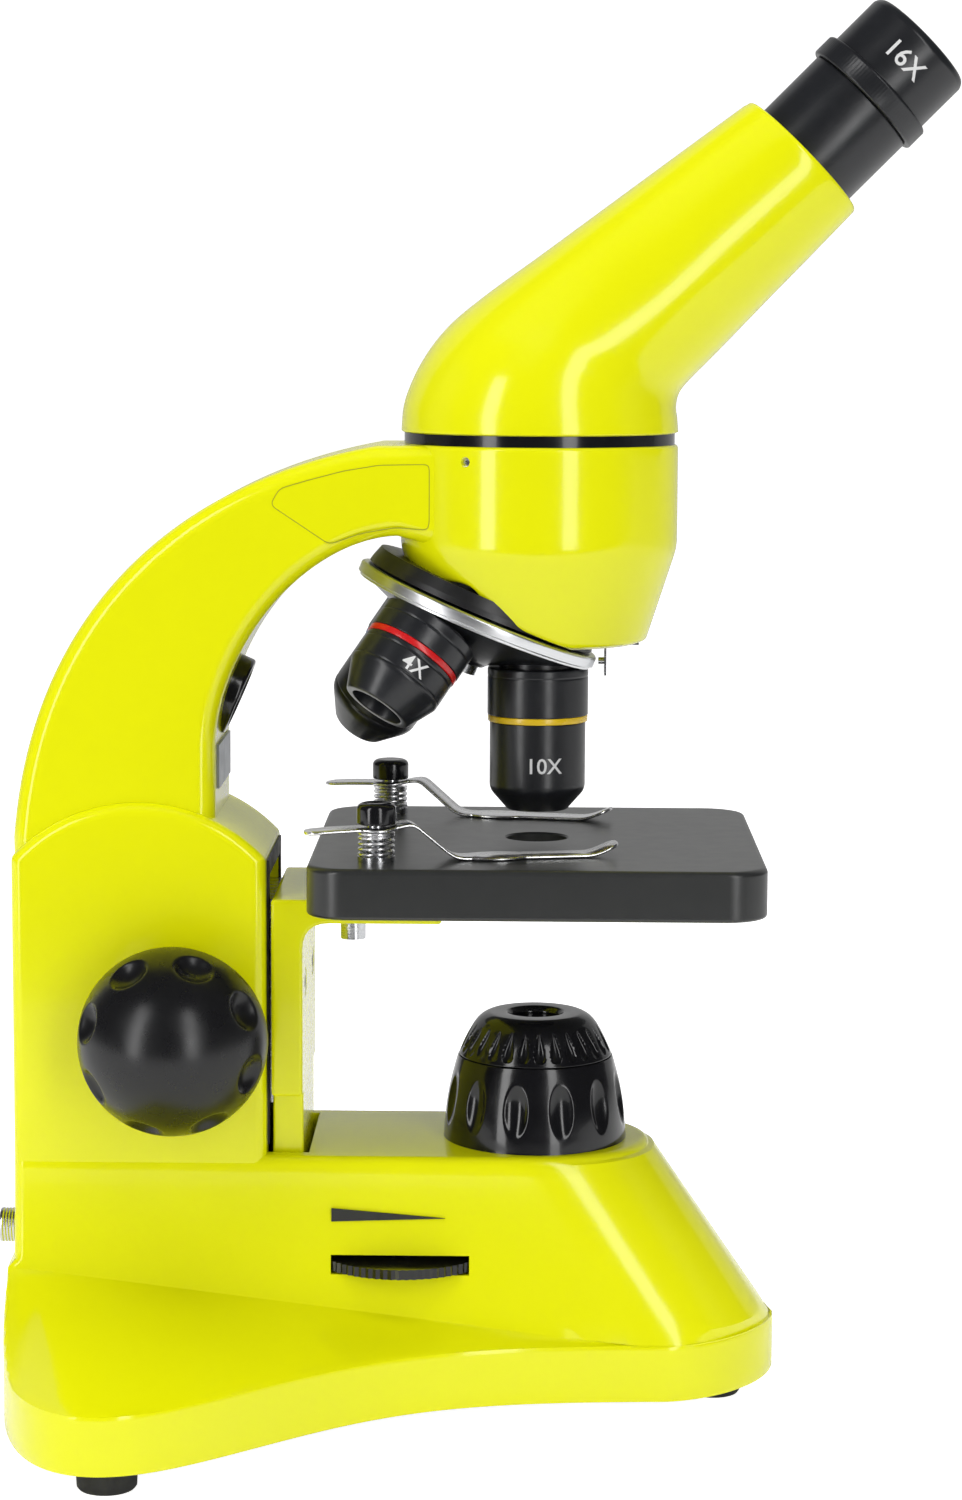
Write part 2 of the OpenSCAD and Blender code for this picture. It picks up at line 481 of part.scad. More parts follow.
// ---------- nosepiece
module nose_plate() color(black) difference() {
  nose_frame() turned([[2.45, 27.17], [23.4, 27.17], [24.2, 29.4], [24.5, 30.6], [2.45, 30.6]], 96);
  translate([axis_x, 0, 150]) cylinder(h = 30, r = 8, $fn = 48);
}
seat = 40.6;
function seat_s(r) = seat / cos(tilt) - r * tan(tilt);
module turret() color(black) difference() {
  nose_frame() turned([[2.5, 31.1], [23.6, 31.1], [23.6, seat_s(23.6)], [6, seat_s(6)], [5.2, 42.4], [2.5, 42.4]], 96);
  for (a = [0, 120, 240]) objective_frame(a) translate([0, 0, -45]) cylinder(h = 20, r = 8, $fn = 48);
}
module turret_ring() color(steel) nose_frame() turned([[23.6, 31.1], [25.1, 31.1], [25.9, 31.9], [25.9, 33.1], [25.5, seat_s(25.5)], [23.6, seat_s(23.6)]], 96);
module pivot_screw() color(steel) nose_frame() translate([0, 0, -44.4]) {
  cylinder(h = 1.9, r = 4.4, $fn = 36);
  cylinder(h = 25, r = 2.45, $fn = 32);
}
module index_spring() color(steel) {
  span(axis_x + 13.5, axis_x + 13.9, -3, 3, 150.8, 157.5);
  span(axis_x + 13.5, axis_x + 20.5, -3, 3, 157.1, 157.5);
  translate([axis_x + 12.3, 0, 153.6]) rotate([0, 90, 0]) cylinder(h = 1.3, r = 0.7, $fn = 24);
}
or = objective_d / 2;
module objective_4() color(black) objective_frame(-120) turned([[5.2, 37.3], [7.95, 37.3], [7.95, seat], [or, seat], [or, 46.9], [or - 0.7, 46.9],
  [or - 0.7, 48.3], [or - 0.3, 48.3], [or - 0.3, 54.6], [7.2, 60.5], [5.6, 60.5], [5.2, 58]]);
module objective_10() color(black) objective_frame(0) turned([[4, 37.3], [7.95, 37.3], [7.95, seat], [or, seat], [or, 50.5], [or - 0.9, 50.5],
  [or - 0.9, 51.9], [or - 0.5, 51.9], [or - 0.5, 66], [6.1, 70.1], [4.4, 70.1], [4, 69.4]]);
module objective_40() color(black) objective_frame(120) turned([[2.6, 37.3], [7.95, 37.3], [7.95, seat], [or, seat], [or, 50.5], [or - 0.9, 50.5],
  [or - 0.9, 51.9], [or - 0.5, 51.9], [or - 0.5, 65.5], [5.6, 71.5], [2.8, 71.5], [2.6, 71]]);
module band_4() color([0.8, 0.08, 0.08]) objective_frame(-120) turned([[or - 0.7, 46.9], [or - 0.12, 46.9], [or - 0.12, 48.3], [or - 0.7, 48.3]]);
module band_10() color([0.9, 0.75, 0.1]) objective_frame(0) turned([[or - 0.9, 50.5], [or - 0.25, 50.5], [or - 0.25, 51.9], [or - 0.9, 51.9]]);
module band_40() color([0.1, 0.4, 0.8]) objective_frame(120) turned([[or - 0.9, 50.5], [or - 0.25, 50.5], [or - 0.25, 51.9], [or - 0.9, 51.9]]);
module objective_lenses() color(glass) {
  objective_frame(-120) translate([0, 0, -57.5]) cylinder(h = 1.5, r = 5.15, $fn = 36);
  objective_frame(0) translate([0, 0, -69.2]) cylinder(h = 1.5, r = 3.95, $fn = 36);
  objective_frame(120) translate([0, 0, -70.9]) cylinder(h = 1.5, r = 2.55, $fn = 36);
}

// ---------- head
module slip_ring() color(black) translate([axis_x, 0, barrel_top]) difference() {
  cylinder(h = head_z - barrel_top - 0.05, r = head_r - 0.7, $fn = 96);
  translate([0, 0, -1]) cylinder(h = 5, r = head_bore_r + 0.3, $fn = 96);
}
module head_flange() color(steel) translate([axis_x, 0, head_z]) rotate_extrude($fn = 96)
  polygon(let(r = head_bore_r - 0.07) [[r - 4.93, -10.5], [r, -10.5], [r, -6.2], [r - 1.03, -5.6], [r - 1.03, -4.8], [r, -4.2], [r, 0],
    [head_seat_r, 0], [head_seat_r, 2.5], [r - 4.93, 2.5]]);
module lock_screw() color(steel) translate([axis_x, 0, head_z - 5.2]) rotate([0, 0, 238.7]) rotate([0, 90, 0]) translate([0, 0, head_bore_r + 0.1]) difference() {
  cylinder(h = 7.2, r = 0.98, $fn = 24);
  translate([0, 0, 5.7]) cylinder(h = 2, r = 0.55, $fn = 6);
}
module head_shell() color(yellow) difference() {
  intersection() {
    union() {
      translate([axis_x, 0, head_z]) sphere(r = head_r, $fn = 96);
      translate([axis_x - 3.9, 0, head_z + 6.1]) rotate([0, 93.8 - tube_angle, 0]) cylinder(h = 77, r1 = head_r - 6.7, r2 = 14.93, $fn = 96);
    }
    translate([axis_x - 60, -60, head_z]) cube([160, 120, 120]);
  }
  tube_frame() translate([0, 0, tube_reach - 15.6]) cylinder(h = 30, r = 40, $fn = 48);
  tube_frame() translate([0, 0, 40]) cylinder(h = 60, r = tube_d / 2, $fn = 72);
  tube_frame() translate([0, 0, 6]) cylinder(h = 36, r = 13.4, $fn = 48);
  intersection() {
    translate([axis_x, 0, head_z]) sphere(r = head_r - 3, $fn = 72);
    translate([axis_x - 60, -60, head_z + 2.4]) cube([120, 120, 60]);
  }
  translate([axis_x, 0, head_z - 1]) cylinder(h = 3.5, r = head_seat_r, $fn = 96);
}
module prism() color(glass) side_plate(-8, 8) polygon([[axis_x - 9, head_z + 4.7], [axis_x + 9, head_z + 4.7], [axis_x + 5, head_z + 16], [axis_x - 5, head_z + 18]]);
module eyepiece_tube() color(black) tube_frame() difference() {
  translate([0, 0, 42]) cylinder(h = tube_reach - 42, r = tube_d / 2, $fn = 96);
  translate([0, 0, 30]) cylinder(h = 70, r = eyepiece_d / 2 + 0.03, $fn = 96);
}
module eyepiece_barrel() color(steel) tube_frame() difference() {
  translate([0, 0, tube_reach - 29]) cylinder(h = 29.1, r = eyepiece_d / 2, $fn = 96);
  translate([0, 0, tube_reach - 30]) cylinder(h = 40, r = eyepiece_d / 2 - 1, $fn = 72);
}
module eyepiece_cap() color(black) tube_frame() translate([0, 0, tube_reach + 0.1]) rotate_extrude($fn = 96)
  polygon([[10.4, 0], [13.4, 0], [13.4, 4.2], [13.1, 4.6], [12.2, 4.6], [12.2, 15.4], [11.7, 16.4], [10.9, 16.9], [9.4, 16.9], [7.6, 15.4], [7.6, 13], [10.4, 13]]);
module eyepiece_lenses() color(glass) tube_frame() translate([0, 0, tube_reach]) {
  translate([0, 0, 11]) cylinder(h = 2, r = 10.3, $fn = 60);
  translate([0, 0, -27]) cylinder(h = 3, r = eyepiece_d / 2 - 1, $fn = 60);
}

stand();
bottom_plate();
battery_door();
bottom_screws();
feet();
foot_screws();
column_plate();
arm_plate();
brightness_mark();
power_inlet();
battery_box();
battery_cells();
circuit_board();
potentiometer();
brightness_wheel();
selector_housing();
selector_rocker();
lamp_housing();
lamp_cap();
condenser_lens();
lower_led();
upper_lamp();
upper_lens();
upper_led();
guide_rails();
focus_slide();
focus_rack();
stage_carrier();
carrier_screws();
stage_plate();
stage_screws();
focus_shaft();
shaft_bushes();
focus_knobs();
clip_posts();
clip_caps();
clip_near();
clip_far();
clip_springs();
nose_plate();
turret();
turret_ring();
pivot_screw();
index_spring();
objective_4();
objective_10();
objective_40();
band_4();
band_10();
band_40();
objective_lenses();
slip_ring();
head_flange();
lock_screw();
head_shell();
prism();
eyepiece_tube();
eyepiece_barrel();
eyepiece_cap();
eyepiece_lenses();
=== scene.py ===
import json, math
import bpy, bmesh
import numpy as np
from mathutils import Matrix, Vector
from mathutils.geometry import tessellate_polygon


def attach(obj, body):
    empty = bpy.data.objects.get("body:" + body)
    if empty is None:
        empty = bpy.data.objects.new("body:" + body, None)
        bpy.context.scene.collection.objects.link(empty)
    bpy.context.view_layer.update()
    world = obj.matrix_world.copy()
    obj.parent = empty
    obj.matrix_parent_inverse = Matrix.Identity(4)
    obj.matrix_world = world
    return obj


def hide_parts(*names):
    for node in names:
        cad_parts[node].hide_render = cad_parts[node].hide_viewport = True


# A student microscope dressed over its CAD frame. Lengths in the dictionaries are millimetres.
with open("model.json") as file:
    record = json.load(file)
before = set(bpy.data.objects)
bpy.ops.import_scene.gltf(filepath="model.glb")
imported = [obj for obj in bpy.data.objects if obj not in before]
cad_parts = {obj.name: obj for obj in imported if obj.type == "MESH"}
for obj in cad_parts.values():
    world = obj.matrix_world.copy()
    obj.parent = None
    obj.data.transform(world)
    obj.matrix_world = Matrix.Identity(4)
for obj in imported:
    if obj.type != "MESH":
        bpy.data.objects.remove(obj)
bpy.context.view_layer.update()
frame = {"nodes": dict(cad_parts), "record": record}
mm = 0.001


# ---- camera: eye level with the head, looking slightly down at the near side
cameraValues = {"place": (12.37, -694.2, 221.1), "yaw": -0.82, "down": 7.07, "roll": 0.289, "lens": 81.82}


def makeCamera(v):
    yaw, down, roll = (math.radians(v[k]) for k in ("yaw", "down", "roll"))
    ahead = Vector((math.sin(yaw) * math.cos(down), math.cos(yaw) * math.cos(down), -math.sin(down)))
    side = Vector((math.cos(yaw), -math.sin(yaw), 0))
    top = side.cross(ahead)
    right = side * math.cos(roll) + top * math.sin(roll)
    up = top * math.cos(roll) - side * math.sin(roll)
    data = bpy.data.cameras.new("camera")
    data.sensor_fit, data.sensor_height, data.lens = "VERTICAL", 36, v["lens"]
    data.clip_start, data.clip_end = 0.01, 20
    camera = bpy.data.objects.new("camera", data)
    bpy.context.scene.collection.objects.link(camera)
    turn = Matrix((right, up, -ahead)).transposed().to_4x4()
    camera.matrix_world = Matrix.Translation(Vector(v["place"]) * mm) @ turn
    bpy.context.scene.camera = camera


makeCamera(cameraValues)
print("camera placed")


# ---- shapes worked out as arrays

def axisFrame(origin, direction, spin=0.0):
    # a 4x4 placement: local z runs along direction, local x is turned by spin degrees
    turn = Vector(direction).to_track_quat("Z", "Y").to_matrix().to_4x4()
    return np.array(Matrix.Translation(Vector(origin)) @ turn @ Matrix.Rotation(math.radians(spin), 4, "Z"))


def put(points, place):
    # every point times the placement
    return points @ place[:3, :3].T + place[:3, 3]


def softCorners(line, radius, steps=5, closed=False):
    # each corner p becomes the curve (1-t)^2 a + 2t(1-t) p + t^2 b, with a and b at most radius away
    line = np.array(line, float)
    n = len(line)
    radius = np.broadcast_to(radius, n)
    t = np.linspace(0, 1, steps + 1)[:, None]
    out = []
    for i in range(n):
        if not closed and i in (0, n - 1) or radius[i] <= 0:
            out.append(line[i][None])
            continue
        p, a, b = line[i], line[i - 1], line[(i + 1) % n]
        la, lb = np.linalg.norm(a - p), np.linalg.norm(b - p)
        a = p + (a - p) / la * min(radius[i], la * 0.49)
        b = p + (b - p) / lb * min(radius[i], lb * 0.49)
        out.append((1 - t) ** 2 * a + 2 * t * (1 - t) * p + t ** 2 * b)
    return np.concatenate(out)


def smoothLine(points, count):
    # a curve through the points: on each stretch a cubic,
    # whose slope at a point is half the step between its neighbours
    p = np.array(points, float)
    p = np.concatenate([[2 * p[0] - p[1]], p, [2 * p[-1] - p[-2]]])
    u = np.linspace(0, len(points) - 1, count)
    i = np.minimum(u.astype(int), len(points) - 2)
    t = (u - i).reshape((-1,) + (1,) * (p.ndim - 1))
    a, b, c, d = p[i], p[i + 1], p[i + 2], p[i + 3]
    return 0.5 * (2 * b + (c - a) * t + (2 * a - 5 * b + 4 * c - d) * t ** 2 + (3 * b - a - 3 * c + d)
        * t ** 3)


def gridFaces(rows, cols, around, start=0):
    # quads between neighbours of a rows x cols grid; around closes each row on itself
    ids = np.arange(rows * cols).reshape(rows, cols) + start
    nxt = np.roll(ids, -1, axis=1) if around else ids[:, 1:]
    ids = ids if around else ids[:, :-1]
    return np.stack([ids[:-1], nxt[:-1], nxt[1:], ids[1:]], axis=-1).reshape(-1, 4)


def meshOf(name, grids, caps=()):
    # grids: (rows x cols x 3 points in mm, closed round or not)
    # points that coincide are merged, and faces turned outwards
    points, faces, start = [], [], 0
    for grid, around in grids:
        rows, cols = grid.shape[:2]
        points.append(grid.reshape(-1, 3))
        faces += gridFaces(rows, cols, around, start).tolist()
        start += rows * cols
    faces += [list(c) for c in caps]
    mesh = bpy.data.meshes.new(name)
    mesh.from_pydata((np.concatenate(points) * mm).tolist(), [], faces)
    work = bmesh.new()
    work.from_mesh(mesh)
    bmesh.ops.remove_doubles(work, verts=work.verts, dist=2e-6)
    bmesh.ops.dissolve_degenerate(work, edges=work.edges, dist=1e-6)
    bmesh.ops.recalc_face_normals(work, faces=work.faces)
    work.to_mesh(mesh)
    work.free()
    return mesh


def addPiece(name, mesh, body, material, stands=(), sharp=38, weighted=False):
    piece = bpy.data.objects.new(name, mesh)
    bpy.context.scene.collection.objects.link(piece)
    mesh.materials.clear()
    mesh.materials.append(material)
    mesh.polygons.foreach_set("use_smooth", np.ones(len(mesh.polygons), bool))
    mesh.set_sharp_from_angle(angle=math.radians(sharp))
    if weighted:
        keep = piece.modifiers.new("flatFaces", "WEIGHTED_NORMAL")
        keep.keep_sharp = True
    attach(piece, body)
    if stands:
        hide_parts(*stands)
    return piece


def lathe(profile, segments, place, change=None):
    # turned surface: point = (r cos a, r sin a, h); change(r, h, a) may dent the radius
    profile = np.array(profile, float)
    a = np.linspace(0, 2 * np.pi, segments, endpoint=False)
    r = np.repeat(profile[:, :1], segments, axis=1)
    h = np.repeat(profile[:, 1:2], segments, axis=1)
    angle = np.broadcast_to(a, r.shape)
    if change:
        r, h = change(r, h, angle)
    return put(np.stack([r * np.cos(angle), r * np.sin(angle), h], axis=-1), place), True


def slabMesh(name, outline, low, high, edge, place, steps=5):
    # a plate with both edges rounded: the outline steps inwards by e(1 - sin f)
    # while its height rises by e(1 - cos f)
    loop = np.array(outline, float)
    ahead = np.roll(loop, -1, axis=0) - np.roll(loop, 1, axis=0)
    area = np.sum(loop[:, 0] * np.roll(loop[:, 1], -1) - np.roll(loop[:, 0], -1) * loop[:, 1])
    inward = np.stack([-ahead[:, 1], ahead[:, 0]], axis=-1) * np.sign(area)
    inward /= np.linalg.norm(inward, axis=1)[:, None] + 1e-12
    f = np.linspace(0, np.pi / 2, steps + 1)
    inset = np.concatenate([edge * (1 - np.sin(f)), edge * (1 - np.sin(f[::-1]))])
    level = np.concatenate([low + edge * (1 - np.cos(f)), high - edge * (1 - np.cos(f[::-1]))])
    flat = loop[None] + inward[None] * inset[:, None, None]
    grid = np.concatenate([flat, np.broadcast_to(level[:, None, None], flat.shape[:2] + (1,))], axis=-1)
    n, rows = len(loop), len(level)
    cap = np.array(tessellate_polygon([[Vector((*p, 0)) for p in flat[0]]]))
    return meshOf(name, [(put(grid, place), True)], np.concatenate([cap, cap + (rows - 1) * n]).tolist())


def carve(piece, cutters):
    # takes the cutter solids out of the piece, and keeps the result as its mesh
    for cutter in cutters:
        cut = piece.modifiers.new("cut", "BOOLEAN")
        cut.operation, cut.solver, cut.object = "DIFFERENCE", "EXACT", cutter
    found = piece.evaluated_get(bpy.context.evaluated_depsgraph_get())
    done = bpy.data.meshes.new_from_object(found)
    piece.modifiers.clear()
    piece.data = done
    for cutter in cutters:
        bpy.data.objects.remove(cutter)


def cutter(grids, caps=()):
    piece = bpy.data.objects.new("cutter", meshOf("cutter", grids, caps))
    bpy.context.scene.collection.objects.link(piece)
    return piece


def blockCutter(x0, x1, y0, y1, z0, z1):
    ring = np.array([[x0, y0], [x1, y0], [x1, y1], [x0, y1]], float)
    grid = np.stack([np.c_[ring, np.full(4, z)] for z in (z0, z1)])
    return cutter([(grid, True)], [(0, 1, 2, 3), (4, 5, 6, 7)])


# local x, y of a side plate are the model's x, z, and its thickness runs along y
sidePlace = np.array([[1, 0, 0, 0], [0, 0, 1, 0], [0, 1, 0, 0], [0, 0, 0, 1]], float)


# ---- materials

class Nodes:
    # one material's node tree, with short ways to add and join nodes
    def __init__(self, name):
        self.material = bpy.data.materials.new(name)
        self.material.use_nodes = True
        self.tree = self.material.node_tree
        self.shader = self.tree.nodes["Principled BSDF"]
        self.place = self.add("ShaderNodeTexCoord").outputs["Object"]

    def add(self, kind, inputs=None, **settings):
        node = self.tree.nodes.new(kind)
        for key, value in settings.items():
            setattr(node, key, value)
        for key, value in (inputs or {}).items():
            if isinstance(value, bpy.types.NodeSocket):
                self.tree.links.new(value, node.inputs[key])
            else:
                node.inputs[key].default_value = value
        return node

    def noise(self, scale, detail=3.0, stretch=(1, 1, 1), rough=0.55):
        moved = self.add("ShaderNodeMapping", {"Vector": self.place, "Scale": stretch})
        return self.add("ShaderNodeTexNoise", {"Vector": moved.outputs[0], "Scale": scale, "Detail": detail,
            "Roughness": rough}).outputs["Fac"]

    def spread(self, value, low, high, fromLow=0.35, fromHigh=0.65):
        return self.add("ShaderNodeMapRange", {"Value": value, "From Min": fromLow, "From Max": fromHigh,
            "To Min": low, "To Max": high}).outputs[0]

    def blend(self, factor, one, two):
        node = self.add("ShaderNodeMix", data_type="RGBA")
        self.tree.links.new(factor, node.inputs[0])
        node.inputs[6].default_value, node.inputs[7].default_value = (*one, 1), (*two, 1)
        return node.outputs[2]

    def bump(self, layers):
        # layers: (height, depth in mm); each adds its own relief to the last
        normal = None
        for height, depth in layers:
            node = self.add("ShaderNodeBump", {"Height": height, "Strength": 1.0, "Distance": depth * mm})
            if normal:
                self.tree.links.new(normal, node.inputs["Normal"])
            normal = node.outputs[0]
        self.tree.links.new(normal, self.shader.inputs["Normal"])

    def set(self, **values):
        names = {"color": "Base Color", "metal": "Metallic", "rough": "Roughness", "coat": "Coat Weight",
            "coatRough": "Coat Roughness",
                 "ior": "IOR", "specular": "Specular IOR Level", "transmission": "Transmission Weight"}
        for key, value in values.items():
            socket = self.shader.inputs[names[key]]
            if isinstance(value, bpy.types.NodeSocket):
                self.tree.links.new(value, socket)
            else:
                socket.default_value = (*value, 1) if key == "color" else value


enamelValues = {"color": (0.885, 0.895, 0.003), "deep": (0.85, 0.86, 0.002), "peelSize": 620,
    "peelDepth": 0.013, "rough": (0.13, 0.2)}


def makeEnamel(v):
    # thick powder enamel: fine orange peel, and a faint cloud in the colour
    n = Nodes("limeEnamel")
    peel = n.noise(v["peelSize"], 2.0, rough=0.45)
    n.set(color=n.blend(n.noise(38, 4), v["color"], v["deep"]),
        rough=n.spread(n.noise(900, 3), *v["rough"]), coat=0.25, coatRough=0.05, specular=0.36)
    n.bump([(peel, v["peelDepth"]), (n.noise(2600, 2), 0.004)])
    return n.material


def makeSolid(name, color, other, rough, grain, depth, metal=0.0, coat=0.0, coatRough=0.1,
    stretch=(1, 1, 1), specular=0.5):
    # a moulded or coated surface: colour that drifts between two tones, uneven gloss, fine grain
    n = Nodes(name)
    n.set(color=n.blend(n.noise(60, 4, stretch), color, other),
        rough=n.spread(n.noise(grain * 0.3, 4, stretch), *rough),
          metal=metal, coat=coat, coatRough=coatRough, specular=specular)
    n.bump([(n.noise(grain, 3, stretch), depth)])
    return n.material


def makeTurned(name, color, other, rough, origin, direction, lines, depth, metal=1.0):
    # turned metal: the pattern reads only the distance from the axis and the height, so its lines run round
    n = Nodes(name)
    turn = Vector(direction).to_track_quat("Z", "Y").inverted().to_euler()
    centred = n.add("ShaderNodeVectorMath", {0: n.place, 1: tuple(-c * mm for c in origin)},
        operation="ADD").outputs[0]
    turned = n.add("ShaderNodeMapping", {"Vector": centred, "Rotation": turn}).outputs[0]
    parts = n.add("ShaderNodeSeparateXYZ", {0: turned})
    flat = n.add("ShaderNodeCombineXYZ", {0: parts.outputs[0], 1: parts.outputs[1]})
    far = n.add("ShaderNodeVectorMath", {0: flat.outputs[0]}, operation="LENGTH").outputs["Value"]
    drift = n.add("ShaderNodeMath", {0: n.noise(45, 2), 1: 0.0004}, operation="MULTIPLY").outputs[0]
    height = n.add("ShaderNodeMath", {0: parts.outputs[2], 1: drift}, operation="ADD").outputs[0]
    rings = n.add("ShaderNodeCombineXYZ", {0: far, 2: height}).outputs[0]
    grooves = n.add("ShaderNodeTexNoise", {"Vector": rings, "Scale": lines, "Detail": 4.0,
        "Roughness": 0.7}).outputs["Fac"]
    n.set(color=n.blend(grooves, color, other), rough=n.spread(grooves, *rough, 0.3, 0.7), metal=metal)
    n.bump([(grooves, depth)])
    return n.material


def makeGlass(name, color):
    n = Nodes(name)
    n.set(color=n.blend(n.noise(80), color, tuple(c * 0.97 for c in color)),
        rough=n.spread(n.noise(300), 0.01, 0.04), ior=1.52, transmission=0.9, coat=0.4, coatRough=0.02)
    return n.material


noseAxis = (math.sin(math.radians(22.5)), 0, math.cos(math.radians(22.5)))
tubeAxis = (math.sqrt(0.5), 0, math.sqrt(0.5))
apex = (14, 0, 193.1)
tubeStart = (14, 0, 202.6)
enamel = makeEnamel(enamelValues)
anodised = makeSolid("blackAnodised", (0.010, 0.0105, 0.0125), (0.015, 0.016, 0.019),
    (0.28, 0.33), 1500, 0.003, coat=0.2, coatRough=0.22, specular=0.45)
plateBlack = makeSolid("plateBlack", (0.007, 0.007, 0.008), (0.012, 0.012, 0.013),
    (0.30, 0.38), 1500, 0.004, specular=0.5)
stageBlack = makeSolid("stageBlack", (0.020, 0.021, 0.021), (0.024, 0.025, 0.025), (0.29, 0.31), 900, 0.001,
    specular=0.6)
glossPlastic = makeSolid("glossPlastic", (0.004, 0.004, 0.005), (0.007, 0.007, 0.009),
    (0.13, 0.22), 420, 0.006, coat=0.3, coatRough=0.06, specular=0.4)
ballPlastic = makeSolid("ballPlastic", (0.004, 0.004, 0.005), (0.008, 0.008, 0.009),
    (0.26, 0.31), 700, 0.002, specular=0.5)
matPlastic = makeSolid("matPlastic", (0.012, 0.012, 0.013), (0.020, 0.020, 0.022), (0.42, 0.6), 1300, 0.012)
rubber = makeSolid("rubber", (0.014, 0.014, 0.014), (0.026, 0.026, 0.026), (0.6, 0.8), 1100, 0.02)
steel = makeSolid("brightSteel", (0.62, 0.63, 0.65), (0.72, 0.73, 0.75), (0.16, 0.3), 900, 0.004, metal=1.0,
    stretch=(1, 6, 6))
springSteel = makeSolid("springSteel", (0.86, 0.86, 0.87), (0.93, 0.93, 0.94), (0.2, 0.32), 700, 0.003,
    metal=1.0, stretch=(0.25, 5, 5))
brass = makeSolid("brass", (0.72, 0.50, 0.20), (0.80, 0.58, 0.26), (0.2, 0.35), 900, 0.004, metal=1.0)
ringMetal = makeTurned("gripRingMetal", (0.70, 0.71, 0.73), (0.86, 0.87, 0.88), (0.28, 0.36), apex,
    noseAxis, 1200, 0.001)
plateGrey = makeSolid("greyPlate", (0.30, 0.32, 0.36), (0.36, 0.38, 0.42), (0.3, 0.4), 900, 0.006, metal=0.6)
redPaint = makeSolid("redBand", (0.66, 0.006, 0.008), (0.60, 0.005, 0.007), (0.25, 0.35), 900, 0.004,
    coat=0.3)
yellowPaint = makeSolid("yellowBand", (0.90, 0.60, 0.010), (0.84, 0.55, 0.008), (0.25, 0.35), 900, 0.004,
    coat=0.3)
bluePaint = makeSolid("blueBand", (0.015, 0.13, 0.50), (0.012, 0.11, 0.44), (0.25, 0.35), 900, 0.004,
    coat=0.3)
whitePaint = makeSolid("whitePaint", (0.80, 0.80, 0.80), (0.70, 0.70, 0.70), (0.4, 0.55), 1500, 0.004)
boardGreen = makeSolid("boardGreen", (0.01, 0.11, 0.04), (0.012, 0.14, 0.05), (0.3, 0.45), 700, 0.006)
lampWhite = makeSolid("lampWhite", (0.82, 0.80, 0.66), (0.74, 0.71, 0.55), (0.25, 0.4), 900, 0.004)
cellSkin = makeSolid("cellSkin", (0.06, 0.12, 0.28), (0.05, 0.10, 0.24), (0.3, 0.42), 500, 0.006)
lensGlass = makeGlass("lensGlass", (0.86, 0.93, 0.95))
# painted shade: a darker yellow for the shade in the arm panel's groove
paintedGrooveShade = makeSolid("paintedGrooveShade", (0.42, 0.42, 0.003), (0.36, 0.36, 0.003), (0.4, 0.5), 900, 0.004)

# what the frame's own pieces are made of
finishOf = {
    "steel": steel, "brass": brass, "glass": lensGlass, "yellow_paint": enamel, "black_paint": anodised,
    "black_plastic": glossPlastic, "inner_plastic": matPlastic, "rubber": rubber, "grip_ring": ringMetal,
    "red_band": redPaint, "yellow_band": yellowPaint,
    "blue_band": bluePaint, "circuit_green": boardGreen, "lamp_white": lampWhite, "cell_label": cellSkin}
ownFinish = {"column_plate": matPlastic, "arm_plate": plateGrey, "slip_ring": glossPlastic,
    "brightness_mark": matPlastic, "bottom_plate": matPlastic}
for row in frame["record"]["subparts"]:
    mesh = frame["nodes"][row["node"]].data
    mesh.materials.clear()
    mesh.materials.append(ownFinish.get(row["node"], finishOf[row["material_slot"]]))
print("materials made")


# ---- stand casting: base, column, arm and barrel

baseValues = {"front": 64, "rear": -93, "width": 176, "frontWidth": 51.3, "skirtTop": 17.3, "top": 54.6,
              "topHalf": 21.5, "footHalf": 25.85, "topTip": 37.7, "footTip": 63.2, "columnRear": -91.5,
              "edge": 1.6, "hollow": 1.3, "blend": 5.0, "noseLong": 23.4, "rearLong": 45,
              "stepAt": -39.28, "stepLong": 17.48, "flareRise": 14.4}


